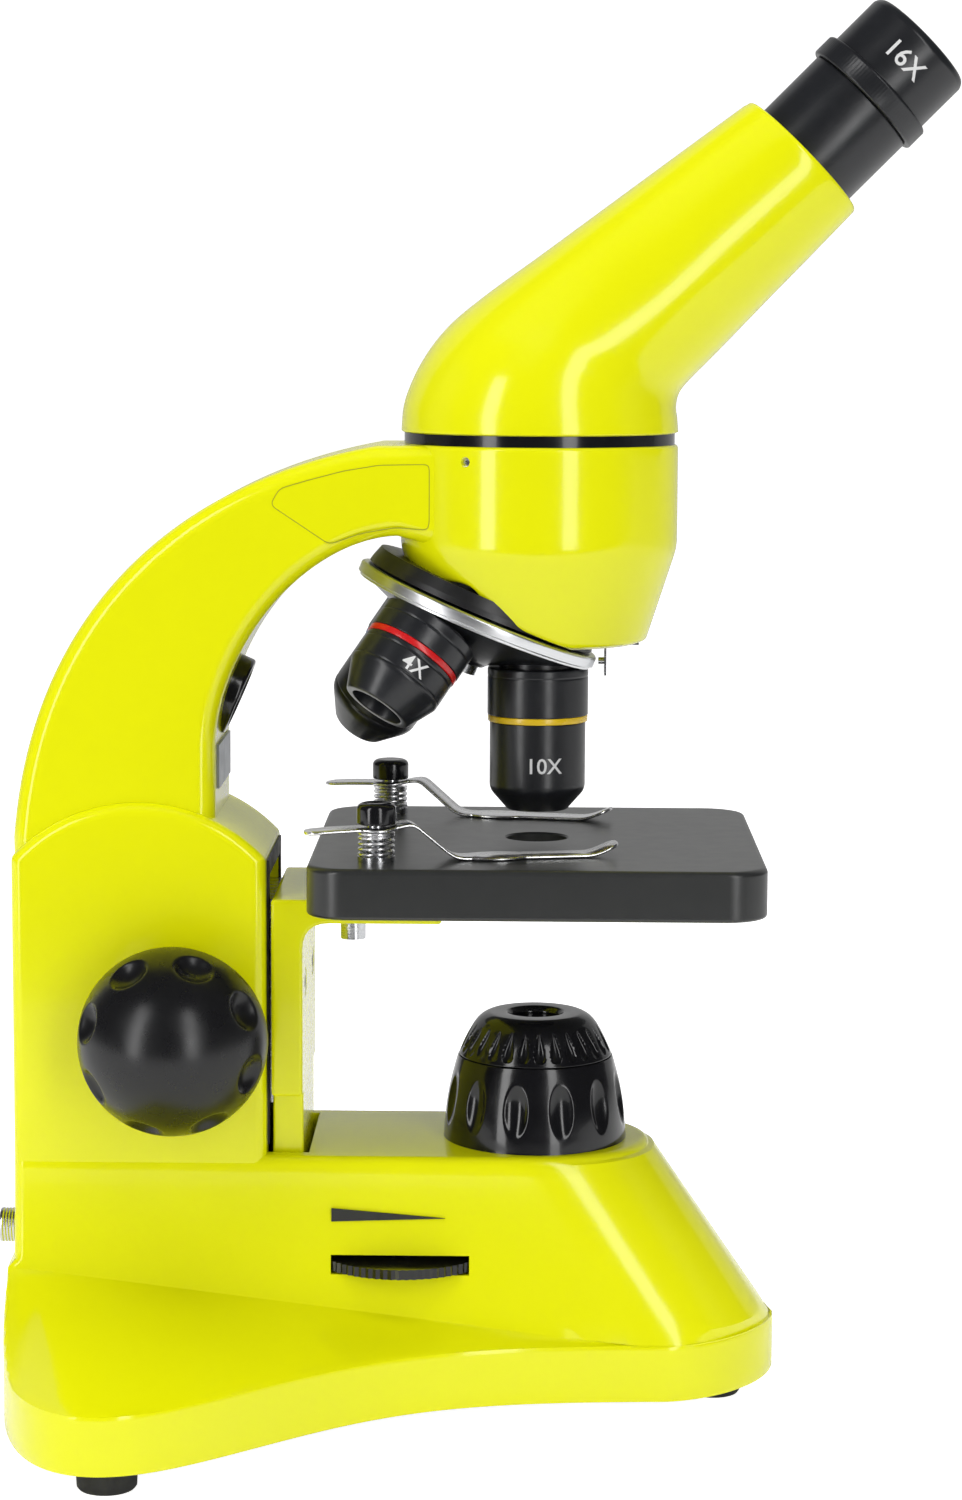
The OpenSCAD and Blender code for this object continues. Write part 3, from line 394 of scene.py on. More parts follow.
def makeBase(v):
    # half width across = a smooth step from rear to front, times rounded ends
    # above the skirt it runs in to the block's wall
    ease = 1 - np.cos(np.linspace(0, np.pi / 2, 26))
    noseEase = 1 - np.sin(np.linspace(0, np.pi / 2, 30))
    fine = 28  # length of the closely spaced stations at the rear
    middle = np.linspace(v["rear"] + fine, v["front"] - v["noseLong"], 62)[1:-1]
    stations = np.concatenate([v["rear"] + fine * ease, middle, v["front"] - v["noseLong"] * noseEase])
    reach = v["front"] - v["rear"]

    def plan(x):
        extra = (v["width"] - v["frontWidth"]) / 2
        step = v["frontWidth"] / 2 + extra / (1 + np.exp((x - v["stepAt"]) / v["stepLong"]))
        t = np.clip((x - (v["front"] - v["noseLong"])) / v["noseLong"], 0, 1)
        s = np.clip((v["rear"] + v["rearLong"] - x) / v["rearLong"], 0, 1)
        return step * (1 - t ** 1.7) ** (1 / 1.7) * (1 - s ** 2.84) ** (1 / 2.84)

    def block(x, z):
        s = np.clip((v["top"] - z) / (v["top"] - v["skirtTop"]), 0, 1)
        w = v["topHalf"] + (v["footHalf"] - v["topHalf"]) * s ** 1.5
        tip = v["topTip"] + (v["footTip"] - v["topTip"]) * s
        start = 10 + 28 * s
        t = np.clip((x - start) / (tip - start), 0, 1)
        side = w * np.clip(1 - t ** (2 / 0.9), 0, 1) ** 0.45
        corner = np.clip((v["columnRear"] + 2.5 - x) / 2.5, 0, 1)
        return side - 2.5 * (1 - np.sqrt(1 - corner ** 2)) * (side > 3)

    flareTop = v["skirtTop"] + v["flareRise"] * (1 - np.clip((stations + 91) / 125, 0, 1))
    rows = []

    def row(z, x, half):
        ring = np.stack([x, half, np.broadcast_to(z, x.shape)], axis=-1)
        back = ring[::-1][1:-1] * np.array([1, -1, 1])
        rows.append(np.concatenate([ring, back]))

    def inset(x, d):
        return v["rear"] + d + (x - v["rear"]) * (reach - 2 * d) / reach

    edgeless = np.where((stations > v["rear"]) & (stations < v["front"]), 1.0, 0.0)
    for z, d in ((8.0, None), (8.0, 2.4), (5.5, 2.4), (5.5, 0.7), (5.7, 0.2), (6.2, 0), (9, 0), (12, 0),
        (15, 0), (16.4, 0), (17.0, 0.12)):
        x = inset(stations, d or (2.4 if d is None else 0))
        row(z, x, 0 * x if d is None else np.maximum(plan(stations) - d, 0) * edgeless)
    for q in np.linspace(0, 1, 26):
        # flare: z rises along q to the block's wall, the half width falls to it in a slightly hollow line
        z = v["skirtTop"] + q * (flareTop - v["skirtTop"])
        x = v["rear"] + (stations - v["rear"]) * (reach - 0.8 * q) / reach
        wall = block(np.maximum(x, v["columnRear"] + 3), z)
        wide = np.maximum(plan(np.maximum(x, v["rear"] + 7)), 24.5) + 0.6
        flare = np.where(stations < 34, wall + (wide - wall) * (1 - q) ** v["hollow"], wall)
        a, b = plan(stations), flare
        k = 0.6 + v["blend"] * q * (1 - q)
        low = -k * np.logaddexp(-a / k, -b / k)
        row(z, x, np.clip(np.where(stations < 34, low, np.minimum(a, b)), 0, None) * edgeless)
    for p in np.linspace(0, 1, 16)[1:]:
        z = flareTop + p * (v["top"] - v["edge"] - flareTop)
        s = (v["top"] - z) / (v["top"] - v["skirtTop"])
        tip = v["topTip"] + (v["footTip"] - v["topTip"]) * s
        x = v["columnRear"] + (stations - v["rear"]) * (tip - v["columnRear"]) / reach
        row(z, x, block(x, z) * edgeless)
    for f in np.linspace(0, np.pi / 2, 7)[1:]:
        z = v["top"] - v["edge"] * (1 - np.sin(f))
        d = v["edge"] * (1 - np.cos(f))
        x0, x1 = v["columnRear"] + d, v["topTip"] - d
        x = x0 + (stations - v["rear"]) * (x1 - x0) / reach
        full = v["columnRear"] + (stations - v["rear"]) * (v["topTip"] - v["columnRear"]) / reach
        row(z, x, np.clip(block(full, v["top"]) - d, 0, None) * edgeless)
    row(v["top"], x, 0 * x)
    return meshOf("castingBase", [(np.stack(rows), True)])


columnValues = {"rear": -91.5, "front": -40.3, "half": 21.5, "archHeight": 91.4, "archRadius": 34.9,
    "edge": 2.4}


def makeColumn(v):
    # side outline: two upright walls under a circular arch
    middle = (v["rear"] + v["front"]) / 2
    reach = math.asin((v["front"] - middle) / v["archRadius"])
    a = np.linspace(reach, -reach, 48)
    arch = np.c_[middle + v["archRadius"] * np.sin(a), v["archHeight"] + v["archRadius"] * np.cos(a)]
    walls = np.linspace(40, arch[0, 1], 12)[:-1]
    outline = np.concatenate([np.c_[np.full(11, v["front"]), walls], arch,
        np.c_[np.full(11, v["rear"]), walls[::-1]]])
    outline = softCorners(outline, np.where(np.isin(np.arange(len(outline)), (11, 58)), 1.2, 0), 4, True)
    return slabMesh("castingColumn", outline, -v["half"], v["half"], v["edge"], sidePlace)


armValues = {"half": 18.75, "edge": 3.6, "rear": -91.5, "top": 197.8, "sunk": 0.4}


def makeArm(v):
    # outer edge: x = 13.4 - 105.4 cos^0.84, z = 103.2 + 96.9 sin^0.84; inner edge a smaller, rounder one
    t = np.radians(np.linspace(6.5, 90, 110))
    outer = np.c_[13.4 - 105.43 * np.cos(t) ** (2 / 2.38), 103.2 + 96.85 * np.sin(t) ** (2 / 2.38)]
    outer = outer[(outer[:, 0] > v["rear"] + 0.02) & (outer[:, 0] < 0) & (outer[:, 1] < v["top"])]
    s = np.radians(np.linspace(90, 2, 70))
    inner = np.c_[-14.2 - 36.5 * np.cos(s) ** (2 / 1.78), 137.24 + 42.5 * np.sin(s) ** (2 / 1.78)]
    outline = np.concatenate([[[v["rear"] + v["sunk"], 96], [v["rear"] + v["sunk"], 100]], outer,
        [[4, v["top"]], [4, 172], [-2, 176.5]], inner, [[-50.7, 108], [-50.7, 96]]])
    return slabMesh("castingArm", outline, -v["half"], v["half"], v["edge"], sidePlace, 6)


barrelValues = {"axis": 14, "radius": 28.1, "top": 197.8, "shoulder": 177, "foot": 157.5,
    "footRadius": 21.8, "edge": 0.8}


def makeBarrel(v):
    # turned wall whose lower edge follows the nosepiece's plane, z = 160.2 - 0.414 r cos a,
    # and stays above the foot
    a = np.linspace(0, 2 * np.pi, 192, endpoint=False)
    c = np.cos(a)
    fall = (v["radius"] - v["footRadius"]) / (v["shoulder"] - v["foot"])
    plane = (160.2 - 0.4142 * c * (v["radius"] - fall * v["shoulder"])) / (1 + 0.4142 * c * fall)
    behind = 171 / (1 + np.exp(-(-0.22 - c) / 0.06))
    low = np.maximum(np.maximum(plane, behind), v["foot"])
    low = v["foot"] + 0.6 * np.log(1 + np.exp((low - v["foot"]) / 0.6))
    rows = [(0 * a, v["top"] + 0 * a)]
    for f in np.linspace(0, np.pi / 2, 5):
        rows.append((v["radius"] - v["edge"] * (1 - np.sin(f)) + 0 * a,
            v["top"] - v["edge"] * (1 - np.cos(f)) + 0 * a))
    for z in np.linspace(v["top"] - 2, v["shoulder"] + 3, 8):
        rows.append((v["radius"] + 0 * a, z + 0 * a))

    def wall(z):
        # the wall's radius, with the bend at the shoulder eased over about a millimetre
        return v["radius"] - fall * 0.6 * np.log(1 + np.exp((v["shoulder"] - z) / 0.6))
    for q in np.linspace(0, 1, 16):
        z = v["shoulder"] + 2.5 + q * (low + v["edge"] - v["shoulder"] - 2.5)
        rows.append((wall(z), z))
    for f in np.linspace(0, np.pi / 2, 5)[1:]:
        z = low + v["edge"] * (1 - np.sin(f))
        rows.append((wall(z) - v["edge"] * (1 - np.cos(f)), z))
    outer = rows[-1][0]
    for part in (0.96, 0.9, 0.84, 0.6, 0.3, 0):
        r = outer * part
        rows.append((r, np.maximum(np.maximum(160.2 - 0.4142 * r * c, behind), v["foot"]) + 0.02))
    grid = np.stack([np.stack([v["axis"] + r * c, r * np.sin(a), z], axis=-1) for r, z in rows])
    grid[0] = grid[0].mean(axis=0)
    grid[-1] = grid[-1].mean(axis=0)
    return meshOf("castingBarrel", [(grid, True)])


standBase = addPiece("castingBase", makeBase(baseValues), "stand", enamel, ["stand"], 30)
standColumn = addPiece("castingColumn", makeColumn(columnValues), "stand", enamel, sharp=30,
    weighted=True)
addPiece("castingArm", makeArm(armValues), "stand", enamel, sharp=30,
    weighted=True)
standBarrel = addPiece("castingBarrel", makeBarrel(barrelValues), "stand", enamel, sharp=30)
print("casting made")


def finishCut(piece, sharp=30):
    # the cut mesh keeps its material, and its new edges are made crisp
    mesh = piece.data
    mesh.polygons.foreach_set("use_smooth", np.ones(len(mesh.polygons), bool))
    mesh.set_sharp_from_angle(angle=math.radians(sharp))


def carveKeeping(piece, cutters, sharp=30):
    weighted = "flatFaces" in piece.modifiers
    if weighted:
        piece.modifiers.remove(piece.modifiers["flatFaces"])
    carve(piece, cutters)
    finishCut(piece, sharp)
    if weighted:
        piece.modifiers.new("flatFaces", "WEIGHTED_NORMAL").keep_sharp = True


def latheCutter(profile, segments, place):
    return cutter([lathe(profile, segments, place)])


carveKeeping(standBase, [
    blockCutter(-27.1, 0.9, -30, -21.8, 30.9, 34.8), blockCutter(-31.7, 5.5, -22.3, 7.5, 30.9, 34.8),
    cutter([(np.stack([np.array([[-27.1, y, 44.4], [-27.1, y, 41.5], [-3.6, y, 42.4]])
        for y in (-30.0, -22.5)]), True)], [(0, 1, 2), (3, 4, 5)]),
    blockCutter(-20.2, -5.8, 15, 30, 34.2, 45.8), blockCutter(-43.3, -31.8, -17.6, 17.6, 30, 60),
    blockCutter(-54.5, -43, -11.6, 11.6, 50.5, 60)])  # room for the slide and the rack at the lowest stage
carveKeeping(standColumn, [blockCutter(-43.3, -30, -14, 14, 30, 111),
    blockCutter(-47, -42, -8.2, 8.2, 49, 109)])
carveKeeping(standBarrel,
    [latheCutter([(0, 17), (1, 17), (1, 34), (0, 34)], 24,
    axisFrame((14, 0, 194.8), (math.cos(math.radians(238.7)), math.sin(math.radians(238.7)), 0)))])
print("openings cut")

panelValues = {"width": 0.2, "lift": 0.015, "outline": [(-39.2, 186.0), (-27.6, 178.3), (-21.3, 180.5),
    (-14.4, 181.7), (-8.4, 181.2), (-7.9, 182.2),
               (-7.9, 193.6), (-8.5, 194.0), (-17.8, 193.8), (-24.9, 192.6), (-32.0, 190.7), (-37.4, 189.1)]}


def makePanelShadeLine(v):
    # a thin closed band along the panel's outline, on both sides of the arm: painted shade, a darker yellow
    # standing in for the shade in the panel's groove
    loop = softCorners(v["outline"], 1.2, 4, True)
    ahead = np.roll(loop, -1, axis=0) - np.roll(loop, 1, axis=0)
    out = np.stack([ahead[:, 1], -ahead[:, 0]], axis=-1) / np.linalg.norm(ahead, axis=1)[:, None]
    grids = []
    for side in (-1, 1):
        y = side * armValues["half"]
        rows = [(0, y - side * 0.3), (0, y + side * v["lift"]), (v["width"], y + side * v["lift"]),
            (v["width"], y - side * 0.3), (0, y - side * 0.3)]
        ring = [np.c_[(loop + out * w)[:, 0], np.full(len(loop), d), (loop + out * w)[:, 1]] for w, d in rows]
        grids.append((np.stack(ring), True))
    return meshOf("armPanelShadeLine", grids)


# the panel's groove is not cut: its shade is painted as a darker yellow band
addPiece("armPanelShadeLine", makePanelShadeLine(panelValues), "stand", paintedGrooveShade)


# ---- inclined head

headValues = {"outer": [(-14.1, 200), (-13.3, 206.5), (-9.9, 214.2), (-4.6, 221.2),
    (3.0, 227.6), (14, 235.6), (28, 245.9), (42, 256.2), (55.8, 266.3)],
              "inner": [(42.1, 200), (41.9, 202.8), (41.6, 205.4), (42.2, 208.1), (44.2, 210.7),
                  (49.8, 216.4), (58.9, 225.9), (68.0, 235.3), (77.2, 244.9)],
              "half": [28.1, 27.5, 26.1, 24.1, 22.0, 20.1, 18.4, 16.6, 14.93], "edge": 0.9, "bore": 12.32}


def makeHead(v):
    # each section is an ellipse spanned between the outer and the inner edge line: middle + a cos + b sin
    rows = 76
    outer, inner = smoothLine(v["outer"], rows), smoothLine(v["inner"], rows)
    half = smoothLine(np.array(v["half"])[:, None], rows)
    a = np.linspace(0, 2 * np.pi, 160, endpoint=False)
    middle, reach = (outer + inner) / 2, (inner - outer) / 2

    def ring(m, r, b):
        return np.stack([m[0] + r[0] * np.cos(a), b * np.sin(a), m[1] + r[1] * np.cos(a)], axis=-1)
    grid = [ring(middle[0], reach[0] * 0, 0), ring(middle[0], reach[0] * (1 - 0.6 / 28), 27.5)]
    grid += [ring(middle[0] + (0, 0.25), reach[0] * (1 - 0.12 / 28), 28.0)]
    grid += [ring(m, r, b[0]) for m, r, b in zip(middle[1:] , reach[1:], half[1:])]
    end, far, b = middle[-1], reach[-1], half[-1][0]
    along = np.array([math.sqrt(0.5)] * 2)
    size = np.linalg.norm(far)
    grid.pop()
    for f in np.linspace(0, np.pi / 2, 6):
        d = v["edge"] * (1 - math.cos(f))
        grid.append(ring(end - along * v["edge"] * (1 - math.sin(f)), far * (1 - d / size), b - d))
    grid += [ring(end - along * s, far * (v["bore"] / size), v["bore"]) for s in (0, 3)]
    grid.append(ring(end - along * 3, far * 0, 0))
    return meshOf("headCasting", [(np.stack(grid), True)])


addPiece("headCasting", makeHead(headValues), "head", enamel, ["head_shell"], 30)
print("head made")


# ---- eyepiece

def eyepieceProfile():
    line = [(0, 14.6), (7.4, 14.6), (7.6, 15.4), (9.4, 16.85), (10.9, 16.9), (11.7, 16.4), (12.2, 15.4),
        (12.2, 4.7), (12.35, 4.6), (13.1, 4.6), (13.4, 4.2),
            (13.4, 0.35), (13.1, 0.02), (10.4, 0.0), (10.4, 12.9), (0, 12.9)]
    return softCorners(line, [0, 0.2, 0.4, 0.6, 0.5, 0.5, 0.3, 0.1, 0.1, 0.25, 0.25, 0.15, 0.15, 0, 0, 0], 4)


def gripRing(r, h, a):
    # fine upright ribs on the collar
    on = (r > 13.2) & (h > 0.6) & (h < 4.0)
    return r - on * 0.08 * (0.5 + 0.5 * np.cos(120 * a)), h


eyepiecePlace = axisFrame(np.array(tubeStart) + 90.3 * np.array(tubeAxis), tubeAxis)
addPiece("eyepieceTop", meshOf("eyepieceTop", [lathe(eyepieceProfile(), 360, eyepiecePlace, gripRing)]),
    "eyepiece", anodised, ["eyepiece_cap"], 32)
tubePlace = axisFrame(tubeStart, tubeAxis)
tubeLine = softCorners([(11.63, 68), (12.3, 68), (12.3, 90.2), (11.63, 90.2), (11.63, 68)],
    [0, 0, 0.3, 0.2, 0], 4)
addPiece("eyepieceTube", meshOf("eyepieceTube", [lathe(tubeLine, 128, tubePlace)]), "head", anodised,
    ["eyepiece_tube"], 32)


# ---- marks painted on the round pieces: magnifications only

def paintMark(name, words, size, place, radius, lift, body, turn=0.0, up=1):
    # flat letters, then bent round the axis: angle = x / radius, distance = radius + lift
    data = bpy.data.curves.new(name, "FONT")
    data.body, data.size, data.align_x, data.align_y, data.resolution_u = words, size, "CENTER", "CENTER", 3
    data.offset = size * 0.010
    letters = bpy.data.objects.new(name, data)
    bpy.context.scene.collection.objects.link(letters)
    flat = bpy.data.meshes.new_from_object(letters.evaluated_get(bpy.context.evaluated_depsgraph_get()))
    bpy.data.objects.remove(letters)
    work = bmesh.new()
    work.from_mesh(flat)
    bmesh.ops.remove_doubles(work, verts=work.verts, dist=1e-4)
    long = [e for e in work.edges if e.calc_length() > 0.5]
    bmesh.ops.subdivide_edges(work, edges=long, cuts=3)
    bmesh.ops.triangulate(work, faces=work.faces)
    work.to_mesh(flat)
    work.free()
    p = np.zeros(len(flat.vertices) * 3)
    flat.vertices.foreach_get("co", p)
    p = p.reshape(-1, 3)
    angle = math.radians(turn) + up * p[:, 0] / radius
    bent = np.stack([(radius + lift) * np.cos(angle), (radius + lift) * np.sin(angle), up * p[:, 1]], axis=-1)
    flat.vertices.foreach_set("co", (put(bent, place) * mm).ravel())
    flat.update()
    return addPiece(name, flat, body, whitePaint, sharp=180)


def facing(place):
    # the angle round the piece's own axis that looks at the near side
    local = place[:3, :3].T @ np.array([0, -1.0, 0])
    return math.degrees(math.atan2(local[1], local[0]))


# ---- objectives, hung from the point where their axes meet

def objectivePlace(turn):
    tilt = Matrix.Rotation(math.radians(22.5), 4, "Y")
    about = Matrix.Rotation(math.radians(turn), 4, "Z")
    return np.array(Matrix.Translation(Vector(apex)) @ tilt @ about @ tilt.inverted())


objectiveValues = [
    {"name": "objectiveFour", "node": "objective_4", "bandNode": "band_4", "turn": -120, "paint": redPaint,
        "slot": "red_band", "mark": "4X", "markAt": 51.6, "markRadius": 10.0,
     "line": [(0, 39), (7.9, 39), (7.95, 40.75), (10.3, 40.75), (10.3, 46.9), (9.6, 46.9), (9.6, 48.3),
         (10.0, 48.3), (10.0, 54.4), (7.2, 60.5), (5.6, 60.5), (5.3, 57.6), (0, 57.6)],
     "soft": [0, 0, 0, 0.5, 0.15, 0.1, 0.1, 0.15, 0.5, 0.4, 0.3, 0.1, 0],
         "band": (9.6, 10.18, 46.95, 48.25), "grooves": [(43.2, 0.1), (49.4, 0.1), (53.6, 0.12)]},
    {"name": "objectiveTen", "node": "objective_10", "bandNode": "band_10", "turn": 0, "paint": yellowPaint,
        "slot": "yellow_band", "mark": "10X", "markAt": 60.4, "markRadius": 9.8,
     "line": [(0, 39), (7.9, 39), (7.95, 40.75), (10.3, 40.75), (10.3, 50.5), (9.4, 50.5), (9.4, 51.9),
         (9.8, 51.9), (9.8, 65.9), (6.1, 70.1), (4.4, 70.1), (4.1, 69.3), (0, 69.3)],
     "soft": [0, 0, 0, 0.5, 0.15, 0.1, 0.1, 0.2, 1.2, 0.4, 0.2, 0.1, 0],
         "band": (9.4, 10.22, 50.55, 51.85), "grooves": [(42.6, 0.06)]},
    {"name": "objectiveForty", "node": "objective_40", "bandNode": "band_40", "turn": 120,
        "paint": bluePaint, "slot": "blue_band", "mark": "40X", "markAt": 59.0, "markRadius": 9.8,
     "line": [(0, 39), (7.9, 39), (7.95, 40.75), (10.3, 40.75), (10.3, 50.5), (9.4, 50.5), (9.4, 51.9),
         (9.8, 51.9), (9.8, 65.4), (5.6, 71.5), (2.8, 71.5), (2.65, 71.0), (0, 71.0)],
     "soft": [0, 0, 0, 0.5, 0.15, 0.1, 0.1, 0.2, 1.2, 0.5, 0.2, 0.1, 0],
         "band": (9.4, 10.05, 50.55, 51.85), "grooves": [(42.6, 0.1), (44.0, 0.1), (64.0, 0.12)]}]


def makeObjective(v):
    # turned body: the profile's corners are eased, fine grooves dip by depth * exp(-(distance / 0.16)^2)
    place = objectivePlace(v["turn"])
    line = softCorners([(r, -d) for r, d in v["line"]], v["soft"], 5)
    fine = []
    for a, b in zip(line[:-1], line[1:]):
        straight = a[0] > 9.5 and b[0] > 9.5 and abs(a[0] - b[0]) < 0.01
        n = max(1, int(np.linalg.norm(b - a) / 0.12)) if straight else 1
        fine.append(a + (b - a) * np.linspace(0, 1, n, endpoint=False)[:, None])
    line = np.concatenate(fine + [line[-1:]])

    def grooves(r, h, a):
        dip = sum(depth * np.exp(-((-h - at) / 0.16) ** 2) for at, depth in v["grooves"])
        return r - dip * (r > 9.5), h
    addPiece(v["name"], meshOf(v["name"], [lathe(line, 144, place, grooves)]), "nosepiece", anodised,
        [v["node"]], 32)
    inner, outer, start, end = v["band"]
    ring = softCorners([(inner, -start), (outer, -start), (outer, -end), (inner, -end), (inner, -start)],
        [0, 0.15, 0.15, 0, 0], 3)
    addPiece(v["name"] + "Band", meshOf(v["name"] + "Band", [lathe(ring, 96, place)]), "nosepiece",
        v["paint"], [v["bandNode"]], 50)
    markPlace = place @ np.array(Matrix.Translation((0, 0, -v["markAt"])))
    paintMark(v["name"] + "Mark", v["mark"], 4.4, markPlace, v["markRadius"], 0.03, "nosepiece",
        facing(place) + 8)


for values in objectiveValues:
    makeObjective(values)
paintMark("eyepieceMark", "16X", 5.4,
    eyepiecePlace @ np.array(Matrix.Translation((0, 0, 10.2))), 12.2, 0.03, "eyepiece", facing(eyepiecePlace))
print("objectives made")


# ---- nosepiece ring and disc

nosePlace = np.array(Matrix.Translation(Vector(apex)) @ Matrix.Rotation(math.radians(22.5), 4, "Y"))
ringValues = {"line": [(23.7, 31.15), (25.5, 31.15), (25.9, 31.5), (25.9, 33.4), (25.3, 33.5), (25.3, 34.0),
    (23.7, 34.2), (23.7, 31.15)], "soft": [0, 0.1, 0.25, 0.15, 0.1, 0.1, 0, 0]}


def seatDistance(r):
    # the disc's lower face is a cone that every objective stands square on
    return 40.6 / math.cos(math.radians(22.5)) - r * math.tan(math.radians(22.5))


def makeNoseRing(v):
    line = softCorners([(r, -d) for r, d in v["line"]], v["soft"], 4)
    return meshOf("noseRing", [lathe(line, 240, nosePlace)])


addPiece("noseRing", makeNoseRing(ringValues), "nosepiece", ringMetal, ["turret_ring"], 40)
discLine = softCorners([(0, -31.15), (23.6, -31.15), (23.6, -seatDistance(23.6) + 0.1),
    (6, -seatDistance(6)), (5.2, -42.4), (0, -42.4)], [0, 0.2, 0.5, 0.5, 0.3, 0], 4)
addPiece("noseDisc", meshOf("noseDisc", [lathe(discLine, 160, nosePlace)]), "nosepiece", anodised,
    ["turret"], 30)
frame["nodes"]["nose_plate"].data.materials[0] = plateBlack


# ---- focus knobs

knobValues = {"at": (-57.6, 81.0), "face": 22.8, "radius": 18.8, "middle": 11.5, "back": 14.5,
              "dents": 8, "first": 27.8, "dentRadius": 5.2, "dentOut": 19.7, "dentHeight": 20.8, "soft": 0.24}


def softLess(a, b, k):
    # the smaller of a and b, with the corner between them eased over about k
    return -k * np.logaddexp(-a / k, -b / k)


def makeKnobs(v):
    # a ball on a short cone; each finger dent is a sphere taken out:
    # r = c cos d - sqrt(s^2 - (h - h0)^2 - c^2 sin^2 d)
    step = 2 * np.pi / v["dents"]

    def dent(r, h, a):
        away = (a - math.radians(v["first"]) + step / 2) % step - step / 2
        room = v["dentRadius"] ** 2 - (h - v["dentHeight"]) ** 2 - (v["dentOut"] * np.sin(away)) ** 2
        floor = np.where(room > 0, v["dentOut"] * np.cos(away) - np.sqrt(np.maximum(room, 0)), r + 4)
        return np.where(h > 0.01, softLess(r, floor, v["soft"]) * np.clip(r / 3, 0, 1) + r
            * (1 - np.clip(r / 3, 0, 1)), r), h
    f = np.concatenate([np.linspace(0, 0.16, 7)[:-1], np.linspace(0.16, 0.72, 56)[:-1],
        np.linspace(0.72, np.pi / 2, 24)])
    ball = np.c_[v["radius"] * np.cos(f), v["middle"] + v["radius"] * np.sin(f)]
    cone = np.c_[np.linspace(v["back"], v["radius"], 10), np.linspace(0, v["middle"], 10)][:-1]
    line = np.concatenate([[(0, 0), (v["back"] - 0.6, 0)], cone + [[0, 0.02]], ball])
    line[-1, 0] = 0
    grids = []
    for side in (-1, 1):
        place = np.array([[1, 0, 0, v["at"][0]], [0, 0, side, side * v["face"]], [0, 1, 0, v["at"][1]],
            [0, 0, 0, 1]], float)
        grids.append(lathe(line, 400, place, dent))
    return meshOf("focusKnobs", grids)


addPiece("focusKnobs", makeKnobs(knobValues), "focus_knob", ballPlastic, ["focus_knobs"], 60)
print("knobs made")


# ---- lower lamp: fluted housing and turning cap

housingValues = {"axis": (14, 0), "foot": 54.6, "wall": [(18.95, 0), (18.72, 3), (18.3, 7), (17.55, 11.2),
    (16.45, 15.5), (15.98, 17.0)],
                 "flutes": 12, "first": 17.5, "fluteRadius": 3.5,
                 "fluteOut": 20.4, "middle": 8.6, "reach": 7.9, "lean": 9.5}


def makeHousing(v):
    # flute: a tapering oval cylinder taken out, its radius s sqrt(1 - ((h-h0)/l)^2)
    step = 2 * np.pi / v["flutes"]

    def flute(r, h, a):
        away = (a - math.radians(v["first"]) + step / 2) % step - step / 2
        out = v["fluteOut"] - (h - v["middle"]) * math.tan(math.radians(v["lean"]))
        size = v["fluteRadius"] * np.sqrt(np.clip(1 - ((h - v["middle"]) / v["reach"]) ** 2, 0, 1)) + 1e-6
        room = size ** 2 - (out * np.sin(away)) ** 2
        floor = np.where(room > 0, out * np.cos(away) - np.sqrt(np.maximum(room, 0)), r + 3)
        return np.where((r > 15) & (h > 0.3), softLess(r, floor, 0.12), r), h
    wall = smoothLine(v["wall"], 70)
    line = np.concatenate([[(0, 0), (18.7, 0)], wall, [(15.9, 17.1), (13.1, 17.1), (13.05, 16.2), (0, 16.2)]])
    place = axisFrame((*v["axis"], v["foot"] + 0.01), (0, 0, 1))
    return meshOf("lampHousing", [lathe(line, 480, place, flute)])


capValues = {"axis": (14, 0), "foot": 71.9,
             "line": [(0, 0.3), (12.9, 0.3), (12.94, 0.0), (15.85, 0), (15.6, 0.5), (14.75, 2.5),
                      (13.75, 4.5), (12.55, 6.6), (11.2, 8),
                      (9.6, 8.7), (5.9, 8.7), (5.2, 7.6), (5.2, 6.85), (0, 6.85)],
             "soft": [0, 0.1, 0.1, 0.3, 0.4, 0.9, 0.9, 0.9, 0.9, 0.5, 0.4, 0.3, 0, 0],
             "flutes": 28, "first": 3.7, "depth": 0.8, "half": 0.072, "taper": 0.5,
             "middle": 3.6, "reach": 2.9}


def makeLampCap(v):
    # small flute, wider at its foot:
    # depth * sqrt(1 - (angle / (w (1 - taper u)))^2 - u^2), with u = (h - h0) / l
    step = 2 * np.pi / v["flutes"]

    def flute(r, h, a):
        away = (a - math.radians(v["first"]) + step / 2) % step - step / 2
        u = np.clip((h - v["middle"]) / v["reach"], -1, 1)
        oval = 1 - (away / (v["half"] * (1 - v["taper"] * u))) ** 2 - u ** 2
        return r - v["depth"] * np.sqrt(np.clip(oval, 0, 1)) * (r > 9), h
    line = softCorners(v["line"], v["soft"], 4)
    fine = [a + (b - a) * np.linspace(0, 1, 5, endpoint=False)[:, None]
        if a[0] > 10 and b[0] > 10 and a[1] > 0.2 else a[None] for a, b in zip(line[:-1], line[1:])]
    line = np.concatenate(fine + [line[-1:]])
    return meshOf("lampCap", [lathe(line, 560, axisFrame((*v["axis"], v["foot"]), (0, 0, 1)), flute)])


addPiece("lampHousing", makeHousing(housingValues), "stand", glossPlastic,
    ["lamp_housing"], 42)
addPiece("lampCap", makeLampCap(capValues), "lamp_top", glossPlastic, ["lamp_cap"], 42)
print("lower lamp made")


# ---- stage

stageValues = {"middle": (14, 0), "half": 45, "corner": 8, "low": 107.1, "high": 117.1, "edge": 1.1,
    "hole": 6.3, "holeBelow": 11}


